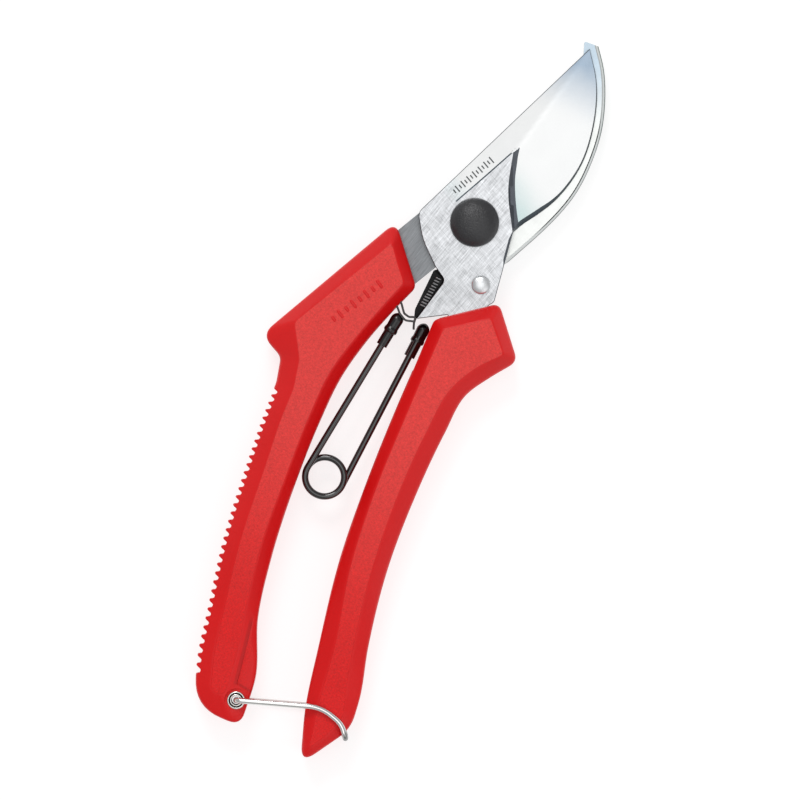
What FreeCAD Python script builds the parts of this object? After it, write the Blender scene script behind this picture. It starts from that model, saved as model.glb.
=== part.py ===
import FreeCAD, Part
import Sketcher
import math
import os
from FreeCAD import Placement, Rotation, Vector

# Bypass pruning shears, lying on the backs of their grips with the blades shut and the catch on.
# Every piece is drawn in one pivot frame: the pivot axis is x = y = 0, the plane in which the two
# blades pass each other is z = 0, +Y runs towards the blade tips and +Z out of the front.
# The bodies' placement then moves that frame to its place above the surface.

SIZES = [
    ("pivot_x", 4.87, "pivot axis from the middle of the shears, across"),
    ("pivot_y", 44.03, "pivot axis from the middle of the shears, along"),
    ("blade_reach", 52.6, "pivot to the cutting blade's tip"),
    ("hook_lead", 1.5, "how far the counter blade's tip stands past the cutting blade's"),
    ("blade_thick", 2.8, "cutting blade plate"),
    ("hook_thick", 3.2, "counter blade plate"),
    ("blade_gap", 0.03, "each blade from the shear plane"),
    ("grind_depth", 0.7, "how far the ground face lies below the plate's face"),
    ("edge_bevel", 1.0, "width of the cutting edge's bevel"),
    ("edge_land", 0.25, "thickness left at the cutting edge"),
    ("hook_bevel", 0.9, "bevel on the counter blade's outer edge"),
    ("grip_reach", 142.5, "pivot to the end of the left grip"),
    ("grip_half", 6.8, "half the grips' thickness at the flat faces"),
    ("side_half", 3.6, "half the height of the grips' side walls"),
    ("butt_half", 5.0, "half the grips' thickness at the catch"),
    ("tang_fit", 0.05, "clearance of a tang in its grip"),
    ("tooth_pitch", 2.02, "first serrations on the left grip"),
    ("tooth_growth", 0.011, "how much each serration is longer than the one above it"),
    ("tooth_bite", 0.93, "radius of one serration"),
    ("bolt_radius", 3.0, "pivot bolt's shank"),
    ("bolt_fit", 0.05, "running clearance on the shank"),
    ("neck_over", 0.6, "square neck under the bolt's head, its side over the shank's diameter"),
    ("head_wide", 2.6, "pivot bolt's head, past the shank"),
    ("head_high", 2.5, "pivot bolt's head"),
    ("key_fit", 0.05, "clearance round the square neck"),
    ("washer_wide", 3.4, "washer under the bolt's head, past the shank"),
    ("washer_thick", 0.5, "washers"),
    ("thrust_wide", 2.1, "washer and disc spring in front of the blade, past the shank"),
    ("disc_high", 0.7, "disc spring, free height as fitted"),
    ("disc_thick", 0.35, "disc spring's sheet"),
    ("nut_high", 1.9, "pivot nut"),
    ("thread_step", 0.5, "threaded end of the pivot bolt, its radius under the shank's"),
    ("nut_over", 2.0, "pivot nut across its flats, over the shank's diameter"),
    ("cap_wide", 3.2, "cap over the pivot nut, past the shank"),
    ("cap_wall", 0.6, "cap's shell"),
    ("cap_lift", 0.15, "cap's rim above the blade"),
    ("cap_crown", 0.55, "room over the nut inside the cap"),
    ("rivet_x", 8.2, "rivet that holds the stop buffer"),
    ("rivet_y", -13.8, "rivet that holds the stop buffer"),
    ("rivet_radius", 1.3, "rivet's shank"),
    ("rivet_head", 2.4, "rivet's dome"),
    ("rivet_dome", 1.3, "height of the rivet's dome"),
    ("burr_radius", 2.1, "ring the rivet is closed over"),
    ("burr_thick", 0.5, "ring the rivet is closed over"),
    ("buffer_back", 2.0, "buffer's web behind the blade"),
    ("buffer_proud", 1.1, "buffer's nose above the shear plane"),
    ("rib_pitch", 0.8, "ribs on the buffer"),
    ("rib_wide", 0.42, "ribs on the buffer"),
    ("rib_high", 0.35, "ribs on the buffer"),
    ("wire_radius", 0.85, "hairpin spring wire"),
    ("coil_radius", 5.0, "spring coil, to the middle of the wire"),
    ("coil_x", -7.25, "coil axis"),
    ("coil_y", -75.2, "coil axis"),
    ("coil_turns", 1.5, "turns between the two arms"),
    ("coil_air", 0.15, "gap between neighbouring turns"),
    ("shoe_x", -7.5, "left shoe's hinge axis"),
    ("shoe_y", -31.1, "left shoe's hinge axis"),
    ("shoe_right_x", -0.35, "right shoe's hinge axis"),
    ("shoe_right_y", -30.7, "right shoe's hinge axis"),
    ("shoe_fit", 0.05, "spring wire in its shoe"),
    ("shoe_grip", 6.0, "how far the wire reaches into its shoe, from the sleeve's mouth"),
    ("channel_half", 3.5, "half the width of the grips' spring channels"),
    ("clip_radius", 0.28, "thin wire clips on the shoes"),
    ("eyelet_x", -3.65, "catch eyelet's axis"),
    ("eyelet_up", 6.0, "catch eyelet from the end of the left grip"),
    ("eyelet_bore", 1.15, "inside of the eyelet"),
    ("eyelet_wall", 0.35, "eyelet's tube"),
    ("eyelet_flange", 2.3, "eyelet's flange"),
    ("flange_thick", 0.4, "eyelet's flange and ring"),
    ("seat_radius", 3.0, "lowered seat round the eyelet"),
    ("seat_half", 4.2, "half the grip's thickness at the eyelet's seats"),
    ("bail_radius", 0.725, "catch wire"),
    ("bail_bend", 1.3, "catch wire's bends, to the middle of the wire"),
    ("bail_gap", 0.25, "catch wire from the grips' faces"),
    ("bail_reach", 29.6, "eyelet to the far end of the catch wire"),
]

BLADE_REACH_DRAWN = 52.6      # the reach that the blades' outlines are drawn for
GRIP_REACH_DRAWN = 142.5      # the reach that the grips' outlines are drawn for
HEEL_OF_BLADE = 8.0           # blades stretch above this height only
KNUCKLE = -45.0               # grips stretch below this height only
BUTT_SLOPE = (-96.0, -124.0)  # the grips grow thinner between these heights
PAST_THE_END = 20.0           # cuts that run out of a grip's end reach this far past it
HALF_SPAN = 60.0              # cuts that run right across a grip start this far to its left
TEETH_TOP = -60.8             # first serration's centre
TEETH_BOTTOM = -135.5         # no serration is centred below this height
TOOTH_LINE = (-28.2, 3.36, 8.73)  # line of the serrations' centres: across at the top, slope, curve
NECK_SIDE = "(2 * sizes.bolt_radius + sizes.neck_over)"
THREAD_RADIUS = "(sizes.bolt_radius - sizes.thread_step)"
HEAD_RADIUS = "(sizes.bolt_radius + sizes.head_wide)"
WASHER_RADIUS = "(sizes.bolt_radius + sizes.washer_wide)"
THRUST_RADIUS = "(sizes.bolt_radius + sizes.thrust_wide)"
SQUARE_CORNER = 0.72          # a square's corner lies this much of its side from its middle

document = FreeCAD.newDocument("pruning_shears")
sheet = document.addObject("Spreadsheet::Sheet", "sizes")
pieces = []


def fill_sheet():
    """Write each driving size as name, number and note, and alias the number's cell."""
    for row, (alias, number, note) in enumerate(SIZES, start=1):
        sheet.set(f"A{row}", alias)
        sheet.set(f"B{row}", str(number))
        sheet.set(f"C{row}", note)
        sheet.setAlias(f"B{row}", alias)
    document.recompute()


def size(alias):
    """A driving size, read back from the sheet."""
    return float(getattr(sheet, alias))


def up(y):
    """Height of a blade point, stretched with the blades' reach."""
    if y <= HEEL_OF_BLADE:
        return y
    stretch = (size("blade_reach") - HEEL_OF_BLADE) / (BLADE_REACH_DRAWN - HEEL_OF_BLADE)
    return HEEL_OF_BLADE + (y - HEEL_OF_BLADE) * stretch


def down(y):
    """Height of a grip point, stretched with the grips' reach."""
    if y >= KNUCKLE:
        return y
    stretch = (size("grip_reach") + KNUCKLE) / (GRIP_REACH_DRAWN + KNUCKLE)
    return KNUCKLE + (y - KNUCKLE) * stretch


def place(obj):
    """Put a piece's pivot frame at its place above the surface."""
    obj.setExpression("Placement.Base.x", "sizes.pivot_x")
    obj.setExpression("Placement.Base.y", "sizes.pivot_y")
    obj.setExpression("Placement.Base.z", "sizes.grip_half")


def keep(obj, label):
    """Name a finished piece and list it for writing."""
    obj.Label = label
    pieces.append(obj)
    return obj


def new_body(label):
    body = document.addObject("PartDesign::Body", label)
    place(body)
    return keep(body, label)


def new_sketch(body, name, height="0", role="XY_Plane"):
    """A sketch on one of the body's own planes, moved along its normal by a height expression."""
    plane = next(item for item in body.Origin.OriginFeatures if item.Role == role)
    sketch = body.newObject("Sketcher::SketchObject", name)
    sketch.AttachmentSupport = [(plane, "")]
    sketch.MapMode = "FlatFace"
    sketch.setExpression("AttachmentOffset.Base.z", height)
    return sketch


def add_circle(sketch, radius, x="0", y="0"):
    """A circle whose radius and centre follow expressions."""
    index = sketch.addGeometry(Part.Circle(Vector(1, 1, 0), Vector(0, 0, 1), 1))
    rules = [
        (Sketcher.Constraint("Radius", index, 1.0), radius),
        (Sketcher.Constraint("DistanceX", -1, 1, index, 3, 1.0), x),
        (Sketcher.Constraint("DistanceY", -1, 1, index, 3, 1.0), y),
    ]
    for rule, expression in rules:
        number = sketch.addConstraint(rule)
        sketch.setExpression(f"Constraints[{number}]", expression)


def add_square(sketch, side):
    """A square round the origin whose side follows an expression."""
    corners = [Vector(-1, -1, 0), Vector(1, -1, 0), Vector(1, 1, 0), Vector(-1, 1, 0)]
    for start, end in zip(corners, corners[1:] + corners[:1]):
        sketch.addGeometry(Part.LineSegment(start, end))
    for index in range(4):
        sketch.addConstraint(Sketcher.Constraint("Coincident", index, 2, (index + 1) % 4, 1))
    for index in (0, 2):
        sketch.addConstraint(Sketcher.Constraint("Horizontal", index))
        sketch.addConstraint(Sketcher.Constraint("Vertical", index + 1))
    lengths = [
        (Sketcher.Constraint("DistanceX", 0, 1, 0, 2, 2.0), side),
        (Sketcher.Constraint("DistanceY", 1, 1, 1, 2, 2.0), side),
        (Sketcher.Constraint("DistanceX", 0, 1, -1, 1, 1.0), f"({side}) / 2"),
        (Sketcher.Constraint("DistanceY", 0, 1, -1, 1, 1.0), f"({side}) / 2"),
    ]
    for rule, expression in lengths:
        number = sketch.addConstraint(rule)
        sketch.setExpression(f"Constraints[{number}]", expression)


def turn(x, y, cut, *via):
    """A corner of an outline: its point, the length its rounding takes from each side,
    and the points that the side after it passes through (none for a straight side)."""
    return {"at": Vector(x, y, 0), "cut": cut, "via": [Vector(a, b, 0) for a, b in via]}


def outline_curves(turns):
    """Round each corner that has a cut with an arc, and join them with straight or smooth sides."""
    count = len(turns)
    arcs = []
    for index, corner in enumerate(turns):
        before = turns[index - 1]
        towards = (before["via"][-1] if before["via"] else before["at"]) - corner["at"]
        after = turns[(index + 1) % count]
        onward = (corner["via"][0] if corner["via"] else after["at"]) - corner["at"]
        towards.normalize()
        onward.normalize()
        half = towards.getAngle(onward) / 2
        middle = towards + onward
        middle.normalize()
        radius = corner["cut"] * math.tan(half)
        crown = corner["at"] + middle * (radius / math.sin(half) - radius)
        arcs.append((corner["at"] + towards * corner["cut"], crown,
                     corner["at"] + onward * corner["cut"], towards, onward))
    curves = []
    for index, corner in enumerate(turns):
        start, crown, end, _, leaving = arcs[index]
        if corner["cut"] > 0:
            curves.append(Part.Arc(start, crown, end))
        target, _, _, arriving, _ = arcs[(index + 1) % count]
        if corner["via"]:
            side = Part.BSplineCurve()
            side.interpolate(Points=[end] + corner["via"] + [target],
                             InitialTangent=leaving, FinalTangent=arriving * -1)
            curves.append(side)
        else:
            curves.append(Part.LineSegment(end, target))
    return curves


def add_outline(sketch, turns):
    """Put a rounded outline into a sketch, its sides joined end to end."""
    curves = outline_curves(turns)
    first = sketch.addGeometry(curves[0])
    last = first
    for curve in curves[1:]:
        last = sketch.addGeometry(curve)
    for index in range(first, last):
        join_ends(sketch, index, index + 1)
    join_ends(sketch, last, first)


def join_ends(sketch, one, two):
    """Make the ends of two neighbouring curves coincide where they meet."""
    for end in (1, 2):
        for start in (1, 2):
            apart = sketch.getPoint(one, end).distanceToPoint(sketch.getPoint(two, start))
            if apart < 1e-6:
                sketch.addConstraint(Sketcher.Constraint("Coincident", one, end, two, start))
                return


def pad(body, name, sketch, length, backwards=False):
    feature = body.newObject("PartDesign::Pad", name)
    feature.Profile = sketch
    feature.setExpression("Length", length)
    feature.Reversed = backwards
    document.recompute()
    return feature


def pocket(body, name, sketch, length, forwards=False):
    """Cut a sketch's shape down from its plane, or up from it, and insist that it cut something."""
    volume = body.Shape.Volume
    feature = body.newObject("PartDesign::Pocket", name)
    feature.Profile = sketch
    feature.setExpression("Length", length)
    feature.Reversed = forwards
    document.recompute()
    if body.Shape.Volume > volume - 1e-3:
        raise RuntimeError(f"{name} cut nothing")
    return feature


def bevel_edges(body, name, base, edges, width, high=None):
    feature = body.newObject("PartDesign::Chamfer", name)
    feature.Base = (base, edges)
    if high is None:
        feature.setExpression("Size", width)
    else:
        feature.ChamferType = "Two distances"
        feature.setExpression("Size", width)
        feature.setExpression("Size2", high)
    document.recompute()
    return feature


def round_edges(body, name, base, edges, radius):
    feature = body.newObject("PartDesign::Fillet", name)
    feature.Base = (base, edges)
    feature.setExpression("Radius", radius)
    document.recompute()
    return feature


def edges_where(shape, test):
    """Names of the edges whose middle passes a test."""
    names = []
    for number, edge in enumerate(shape.Edges, start=1):
        middle = edge.valueAt((edge.FirstParameter + edge.LastParameter) / 2)
        if test(edge, middle):
            names.append(f"Edge{number}")
    return names


# ---------------------------------------------------------------- outlines

def cutting_blade_outline():
    """The plate and the curved cutting edge, without the tang in the grip."""
    return [
        turn(7.95, up(52.8), 0, (13.05, up(46.0)), (17.45, up(34.5)), (18.6, up(25.3)),
             (17.75, up(18.5)), (16.1, up(13.2)), (13.65, up(8.5)), (11.2, 4.45)),
        turn(10.0, 1.75, 0),
        turn(13.2, -16.6, 0.8),
        turn(*TANG_RIGHT_TOP, 0.4),
        turn(*TANG_RIGHT_END, 2.0),
        turn(*TANG_LEFT_END, 2.0),
        turn(*TANG_LEFT_TOP, 0.4),
        turn(-3.05, -28.6, 0.25),
        turn(-0.6, -16.6, 1.0),
        turn(-4.3, -14.5, 0.4, (-10.6, -8.9)),
        turn(-14.2, -3.8, 1.3),
    ]


TANG_RIGHT_TOP = (12.2, -17.6)
TANG_RIGHT_END = (10.8, -52.0)
TANG_LEFT_END = (5.6, -52.0)
TANG_LEFT_TOP = (3.9, -24.2)


def grind_outline():
    """The ground face: bounded by the curved shoulder and open past the edge and the spine."""
    return [
        turn(-9.0, up(16.0), 0.3),
        turn(-6.6, 3.2, 0.3),
        turn(2.4, up(22.3), 0.3, (4.57, up(14.8)), (7.5, up(8.95))),
        turn(11.4, 3.4, 0.2),
        turn(24.0, 3.4, 0.3),
        turn(24.0, up(58.0), 0.3),
        turn(4.0, up(58.0), 0.3),
    ]


def counter_blade_outline():
    """The hook, the boss round the pivot and the tang in the left grip."""
    lead = size("hook_lead")
    bottom_radius = 13.2
    sweep = [math.radians(angle) for angle in (-40, -60, -80)]
    under = [(bottom_radius * math.cos(angle), bottom_radius * math.sin(angle)) for angle in sweep]
    return [
        turn(9.7, up(52.8) + lead, 0, (13.0, up(50.2)), (15.7, up(45.6)), (18.15, up(39.9)),
             (19.85, up(34.0)), (20.7, up(27.0)), (20.1, up(15.8)), (16.1, 3.6)),
        turn(12.2, -5.3, 0, *under),
        turn(-3.3, -12.8, 0.5),
        turn(-18.4, -43.5, 2.0),
        turn(-26.6, -30.0, 2.0),
        turn(-14.2, -4.4, 1.0, (-11.2, 2.0), (-7.0, 8.6), (0.0, 11.4), (6.0, up(13.0)),
             (11.0, up(24.0)), (11.2, up(37.0)), (8.6, up(47.0))),
        turn(5.9, up(52.9) + lead * 0.7, 0.5),
    ]


def left_grip_outlines():
    """The side wall's outline and the flat face's outline, side for side."""
    wall = [
        turn(-18.3, -8.3, 3.0),
        turn(-6.5, -21.3, 1.3, (-9.5, -30.0), (-12.2, -39.5), (-14.1, -50.0), (-14.3, down(-63.0)),
             (-13.3, down(-80.0)), (-10.8, down(-100.0)), (-7.5, down(-115.0)), (-1.5, down(-129.5))),
        turn(0.2, down(-142.1), 3.1),
        turn(-12.7, down(-142.6), 6.4, (-16.9, down(-132.0)), (-20.3, down(-118.0)),
             (-24.1, down(-100.8)), (-26.9, down(-80.0)), (-28.3, down(-66.0))),
        turn(-28.7, down(-58.5), 0.8),
        turn(-30.4, -52.1, 1.2),
        turn(-37.3, -49.0, 3.2),
    ]
    face = [
        turn(-17.0, -13.6, 0.5),
        turn(-9.7, -21.8, 0.5, (-12.4, -30.5), (-14.9, -39.5), (-17.1, -50.0), (-17.2, down(-62.0)),
             (-16.1, down(-79.0)), (-14.2, down(-99.0)), (-11.6, down(-112.0)), (-8.2, down(-126.0))),
        turn(-6.6, down(-136.5), 1.4),
        turn(-10.6, down(-137.5), 1.8, (-13.6, down(-129.0)), (-16.6, down(-116.0)),
             (-19.9, down(-100.0)), (-22.3, down(-79.5)), (-23.8, down(-66.0))),
        turn(-24.2, down(-58.0), 0.6),
        turn(-26.0, -50.6, 0.8),
        turn(-31.1, -42.6, 0.8),
    ]
    return wall, face


def right_grip_outlines():
    """The side wall's outline and the flat face's outline, side for side."""
    wall = [
        turn(14.5, -16.1, 1.4),
        turn(25.0, -27.6, 1.7, (20.4, -34.3), (16.7, -41.0), (15.9, -52.0), (15.9, down(-70.0)),
             (17.4, down(-90.0)), (21.3, down(-110.0)), (24.9, down(-123.0))),
        turn(26.1, down(-130.8), 3.2),
        turn(18.1, down(-144.5), 5.3, (13.6, down(-132.0)), (9.6, down(-115.0)), (5.1, down(-92.5)),
             (3.0, down(-72.0)), (1.9, -52.0), (1.55, -40.0)),
        turn(1.0, -26.9, 1.0),
    ]
    face = [
        turn(14.2, -20.4, 0.5),
        turn(21.1, -27.6, 0.5, (16.3, -33.6), (12.6, -41.5), (11.7, -53.0), (11.8, down(-70.0)),
             (13.7, down(-90.0)), (17.8, down(-110.0)), (20.8, down(-120.5))),
        turn(22.6, down(-131.0), 1.2),
        turn(18.3, down(-139.9), 1.6, (15.7, down(-128.5)), (13.3, down(-114.0)), (8.2, down(-93.0)),
             (5.7, down(-72.0)), (4.8, -52.0), (4.4, -40.0)),
        turn(4.1, -28.2, 0.5),
    ]
    return wall, face


# ---------------------------------------------------------------- blades

def make_cutting_blade():
    body = new_body("cutting_blade")
    sketch = new_sketch(body, "blade_outline", "sizes.blade_gap")
    add_outline(sketch, cutting_blade_outline())
    plate = pad(body, "blade_plate", sketch, "sizes.blade_thick")
    top = size("blade_gap") + size("blade_thick")
    edge = edges_where(plate.Shape, lambda item, at: abs(at.z - top) < 1e-4 and at.x > 15.0)
    drop = "(sizes.blade_thick - sizes.edge_land)"
    slope = f"sizes.edge_bevel / ({drop} - sizes.grind_depth)"
    bevel_edges(body, "cutting_edge", plate, edge, f"{slope} * {drop}", drop)
    sketch = new_sketch(body, "ground_area", "sizes.blade_gap + sizes.blade_thick")
    add_outline(sketch, grind_outline())
    pocket(body, "ground_face", sketch, "sizes.grind_depth")
    sketch = new_sketch(body, "holes", "sizes.blade_gap")
    add_circle(sketch, "sizes.bolt_radius + sizes.bolt_fit")
    add_circle(sketch, "sizes.rivet_radius + sizes.tang_fit", "sizes.rivet_x", "sizes.rivet_y")
    pocket(body, "blade_bores", sketch, "sizes.blade_thick", forwards=True)
    return body


def make_counter_blade():
    body = new_body("counter_blade")
    sketch = new_sketch(body, "hook_outline", "-sizes.blade_gap")
    add_outline(sketch, counter_blade_outline())
    plate = pad(body, "hook_plate", sketch, "sizes.hook_thick", backwards=True)
    edge = edges_where(plate.Shape, lambda item, at: abs(at.z + size("blade_gap")) < 1e-4
                       and at.x > 15.0 and item.Length > 30.0)
    bevel_edges(body, "outer_bevel", plate, edge, "sizes.hook_bevel")
    sketch = new_sketch(body, "bolt_key", "-sizes.blade_gap")
    add_square(sketch, f"{NECK_SIDE} + 2 * sizes.key_fit")
    pocket(body, "square_hole", sketch, "sizes.hook_thick")
    return body


# ---------------------------------------------------------------- grips

def loft_grip(body, wall, face):
    """Straight side walls, and sloping margins up to the flat front and back faces."""
    heights = [("sizes.grip_half", face), ("sizes.side_half", wall),
               ("-sizes.side_half", wall), ("-sizes.grip_half", face)]
    sections = []
    for number, (height, turns) in enumerate(heights):
        sketch = new_sketch(body, f"{body.Label}_section_{number}", height)
        add_outline(sketch, turns)
        sections.append(sketch)
    loft = body.newObject("PartDesign::AdditiveLoft", f"{body.Label}_form")
    loft.Profile = sections[0]
    loft.Sections = sections[1:]
    loft.Ruled = True
    document.recompute()
    return loft


def thin_butt(body):
    """Slope both faces down towards the butt, so that the catch wire lies within them."""
    slope_start, slope_end = [down(y) for y in BUTT_SLOPE]
    below = -size("grip_reach") - PAST_THE_END
    outside = size("grip_half") + 1.0
    for side in (1, -1):
        sketch = new_sketch(body, f"{body.Label}_butt_{'front' if side > 0 else 'back'}",
                            f"-{HALF_SPAN}", role="YZ_Plane")
        corners = [(slope_start, side * size("grip_half")), (slope_end, side * size("butt_half")),
                   (below, side * size("butt_half")), (below, side * outside),
                   (slope_start, side * outside)]
        points = [Vector(y, z, 0) for y, z in corners]
        for start, end in zip(points, points[1:] + points[:1]):
            sketch.addGeometry(Part.LineSegment(start, end))
        pocket(body, f"{sketch.Label}_slope", sketch, f"{2 * HALF_SPAN}", forwards=True)


def cut_tang_slot(body, name, turns, bottom, top):
    """The slot that a blade's tang is moulded into, from one height up to another."""
    sketch = new_sketch(body, f"{name}_outline", top)
    add_outline(sketch, turns)
    pocket(body, name, sketch, f"({top}) - ({bottom})")


def cut_spring_channel(body, centre, width, bottom, top):
    """A groove in the grip's inner side that leaves room for the spring and its shoe."""
    sketch = new_sketch(body, f"{body.Label}_channel_outline", "sizes.channel_half")
    x, half = centre, width / 2
    corners = [(x - half, bottom), (x + half, bottom), (x + half, top), (x - half, top)]
    points = [Vector(a, b, 0) for a, b in corners]
    for start, end in zip(points, points[1:] + points[:1]):
        sketch.addGeometry(Part.LineSegment(start, end))
    pocket(body, f"{body.Label}_channel", sketch, "2 * sizes.channel_half")


def tooth_line(y):
    """Where the tips of the left grip's serrations lie at a height."""
    share = (y - down(TEETH_TOP)) / (down(TEETH_BOTTOM) - down(TEETH_TOP))
    start, slope, curve = TOOTH_LINE
    return start + slope * share + curve * share ** 2


def cut_serrations(body):
    """A row of round bites along the outer side of the left grip."""
    sketch = new_sketch(body, "serration_row", "sizes.grip_half + 1")
    height = down(TEETH_TOP)
    pitch = size("tooth_pitch")
    while height > down(TEETH_BOTTOM):
        circle = Part.Circle(Vector(tooth_line(height), height, 0), Vector(0, 0, 1), size("tooth_bite"))
        sketch.addGeometry(circle)
        height -= pitch
        pitch += size("tooth_growth")
    pocket(body, "serrations", sketch, "2 * sizes.grip_half + 2")


def make_left_grip():
    body = new_body("left_grip")
    loft_grip(body, *left_grip_outlines())
    thin_butt(body)
    fit = size("tang_fit")
    slot = [
        turn(-3.3 + 2.0 * fit, -12.8 + fit, 0.1),
        turn(-18.4 + fit, -43.5 - 2.0 * fit, 2.0),
        turn(-26.6 - 2.0 * fit, -30.0, 2.0),
        turn(-14.2 - 2.0 * fit, -4.4 + fit, 0.1),
    ]
    cut_tang_slot(body, "left_tang_slot", slot,
                  "-sizes.blade_gap - sizes.hook_thick - sizes.tang_fit",
                  "-sizes.blade_gap + sizes.tang_fit")
    cut_serrations(body)
    eyelet_y = "sizes.eyelet_up - sizes.grip_reach"
    sketch = new_sketch(body, "eyelet_hole", "sizes.grip_half")
    add_circle(sketch, "sizes.eyelet_bore + sizes.eyelet_wall", "sizes.eyelet_x", eyelet_y)
    pocket(body, "eyelet_bore", sketch, "2 * sizes.grip_half")
    sketch = new_sketch(body, "front_seat", "sizes.grip_half")
    add_circle(sketch, "sizes.seat_radius", "sizes.eyelet_x", eyelet_y)
    pocket(body, "front_eyelet_seat", sketch, "sizes.grip_half - sizes.seat_half")
    sketch = new_sketch(body, "back_seat", "-sizes.grip_half")
    add_circle(sketch, "sizes.seat_radius", "sizes.eyelet_x", eyelet_y)
    pocket(body, "back_eyelet_seat", sketch, "sizes.grip_half - sizes.seat_half", forwards=True)
    return body


def make_right_grip():
    body = new_body("right_grip")
    loft_grip(body, *right_grip_outlines())
    thin_butt(body)
    fit = size("tang_fit")
    slot = [
        turn(TANG_RIGHT_TOP[0] + fit, -14.0, 0.1),
        turn(TANG_RIGHT_TOP[0] + fit, TANG_RIGHT_TOP[1], 0.4),
        turn(TANG_RIGHT_END[0] + fit, TANG_RIGHT_END[1] - fit, 2.0),
        turn(TANG_LEFT_END[0] - fit, TANG_LEFT_END[1] - fit, 2.0),
        turn(TANG_LEFT_TOP[0] - fit, TANG_LEFT_TOP[1], 0.4),
        turn(TANG_LEFT_TOP[0] - fit, -14.0, 0.1),
    ]
    cut_tang_slot(body, "right_tang_slot", slot,
                  "sizes.blade_gap - sizes.tang_fit",
                  "sizes.blade_gap + sizes.blade_thick + sizes.tang_fit")
    cut_spring_channel(body, 1.0, 2.4, -41.0, -26.0)
    return body


# ---------------------------------------------------------------- turned pieces

def cylinder(name, radius, height, bottom, x="0", y="0"):
    """A Part cylinder along Z with its sizes and place bound to expressions."""
    solid = document.addObject("Part::Cylinder", name)
    solid.setExpression("Radius", radius)
    solid.setExpression("Height", height)
    solid.setExpression("Placement.Base.x", x)
    solid.setExpression("Placement.Base.y", y)
    solid.setExpression("Placement.Base.z", bottom)
    return solid


def cone(name, low, high, height, bottom, x="0", y="0"):
    solid = document.addObject("Part::Cone", name)
    solid.setExpression("Radius1", low)
    solid.setExpression("Radius2", high)
    solid.setExpression("Height", height)
    solid.setExpression("Placement.Base.x", x)
    solid.setExpression("Placement.Base.y", y)
    solid.setExpression("Placement.Base.z", bottom)
    return solid


def cut(label, base, tool):
    result = document.addObject("Part::Cut", label)
    result.Base = base
    result.Tool = tool
    return result


def fuse(label, shapes):
    result = document.addObject("Part::MultiFuse", label)
    result.Shapes = shapes
    return result


def make_ring(label, outer, inner, height, bottom, x="0", y="0"):
    """A flat ring: one cylinder less another."""
    ring = cut(label, cylinder(f"{label}_disc", outer, height, bottom, x, y),
               cylinder(f"{label}_hole", inner, height, bottom, x, y))
    place(ring)
    return keep(ring, label)


BLADE_FACE = "sizes.blade_gap + sizes.blade_thick"
HOOK_BACK = "-sizes.blade_gap - sizes.hook_thick"
NUT_SEAT = f"{BLADE_FACE} + sizes.cap_lift / 2 + sizes.washer_thick + sizes.disc_high"


def make_pivot():
    """Bolt, washers, disc spring, nut and cap on the pivot axis."""
    head_top = f"{HOOK_BACK} - sizes.washer_thick"
    body = new_body("pivot_bolt")
    sketch = new_sketch(body, "head", f"{head_top} - sizes.head_high")
    add_circle(sketch, HEAD_RADIUS)
    head = pad(body, "bolt_head", sketch, "sizes.head_high")
    rim = edges_where(head.Shape, lambda item, at: item.Length > 20.0
                      and at.z < -size("hook_thick") - size("washer_thick") - 1.0)
    round_edges(body, "head_rim", head, rim, "sizes.head_high * 0.4")
    sketch = new_sketch(body, "neck", head_top)
    add_square(sketch, NECK_SIDE)
    pad(body, "square_neck", sketch, "sizes.washer_thick + sizes.hook_thick")
    sketch = new_sketch(body, "shank", HOOK_BACK)
    add_circle(sketch, "sizes.bolt_radius")
    pad(body, "bolt_shank", sketch, f"{NUT_SEAT} - ({HOOK_BACK})")
    sketch = new_sketch(body, "thread", NUT_SEAT)
    add_circle(sketch, THREAD_RADIUS)
    pad(body, "bolt_thread", sketch, "sizes.nut_high")
    sketch = new_sketch(body, "driver_socket", f"{head_top} - sizes.head_high")
    add_square(sketch, "sizes.bolt_radius")
    pocket(body, "driver_recess", sketch, "sizes.head_high * 0.6", forwards=True)

    make_ring("bolt_washer", WASHER_RADIUS, f"{NECK_SIDE} * {SQUARE_CORNER}",
              "sizes.washer_thick", head_top)
    washer_bottom = f"{BLADE_FACE} + sizes.cap_lift / 2"
    make_ring("thrust_washer", THRUST_RADIUS, "sizes.bolt_radius + sizes.bolt_fit",
              "sizes.washer_thick", washer_bottom)
    make_disc_spring(f"{washer_bottom} + sizes.washer_thick")
    make_nut()
    make_cap()


def make_disc_spring(bottom):
    """A dished ring: a cone's shell of even thickness, resting on its rim."""
    rise = "sizes.disc_high - sizes.disc_thick"
    outer = THRUST_RADIUS
    inner = "sizes.bolt_radius + 4 * sizes.bolt_fit"
    full = cone("disc_outside", outer, inner, rise, f"{bottom} + sizes.disc_thick")
    skirt = cylinder("disc_rim", outer, "sizes.disc_thick", bottom)
    hollow = cone("disc_inside", outer, inner, rise, bottom)
    hole = cylinder("disc_hole", inner, "sizes.disc_high", bottom)
    ring = cut("disc_spring", fuse("disc_solid", [skirt, full]), fuse("disc_tools", [hollow, hole]))
    place(ring)
    keep(ring, "disc_spring")


def make_nut():
    body = new_body("pivot_nut")
    sketch = new_sketch(body, "nut_blank", NUT_SEAT)
    corner = (2 * size("bolt_radius") + size("nut_over")) / math.sqrt(3)
    points = [Vector(corner * math.cos(math.radians(a)), corner * math.sin(math.radians(a)), 0)
              for a in range(0, 360, 60)]
    for start, end in zip(points, points[1:] + points[:1]):
        sketch.addGeometry(Part.LineSegment(start, end))
    pad(body, "nut_block", sketch, "sizes.nut_high")
    sketch = new_sketch(body, "nut_thread", NUT_SEAT)
    add_circle(sketch, f"{THREAD_RADIUS} + sizes.bolt_fit / 2")
    pocket(body, "nut_bore", sketch, "sizes.nut_high", forwards=True)


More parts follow.
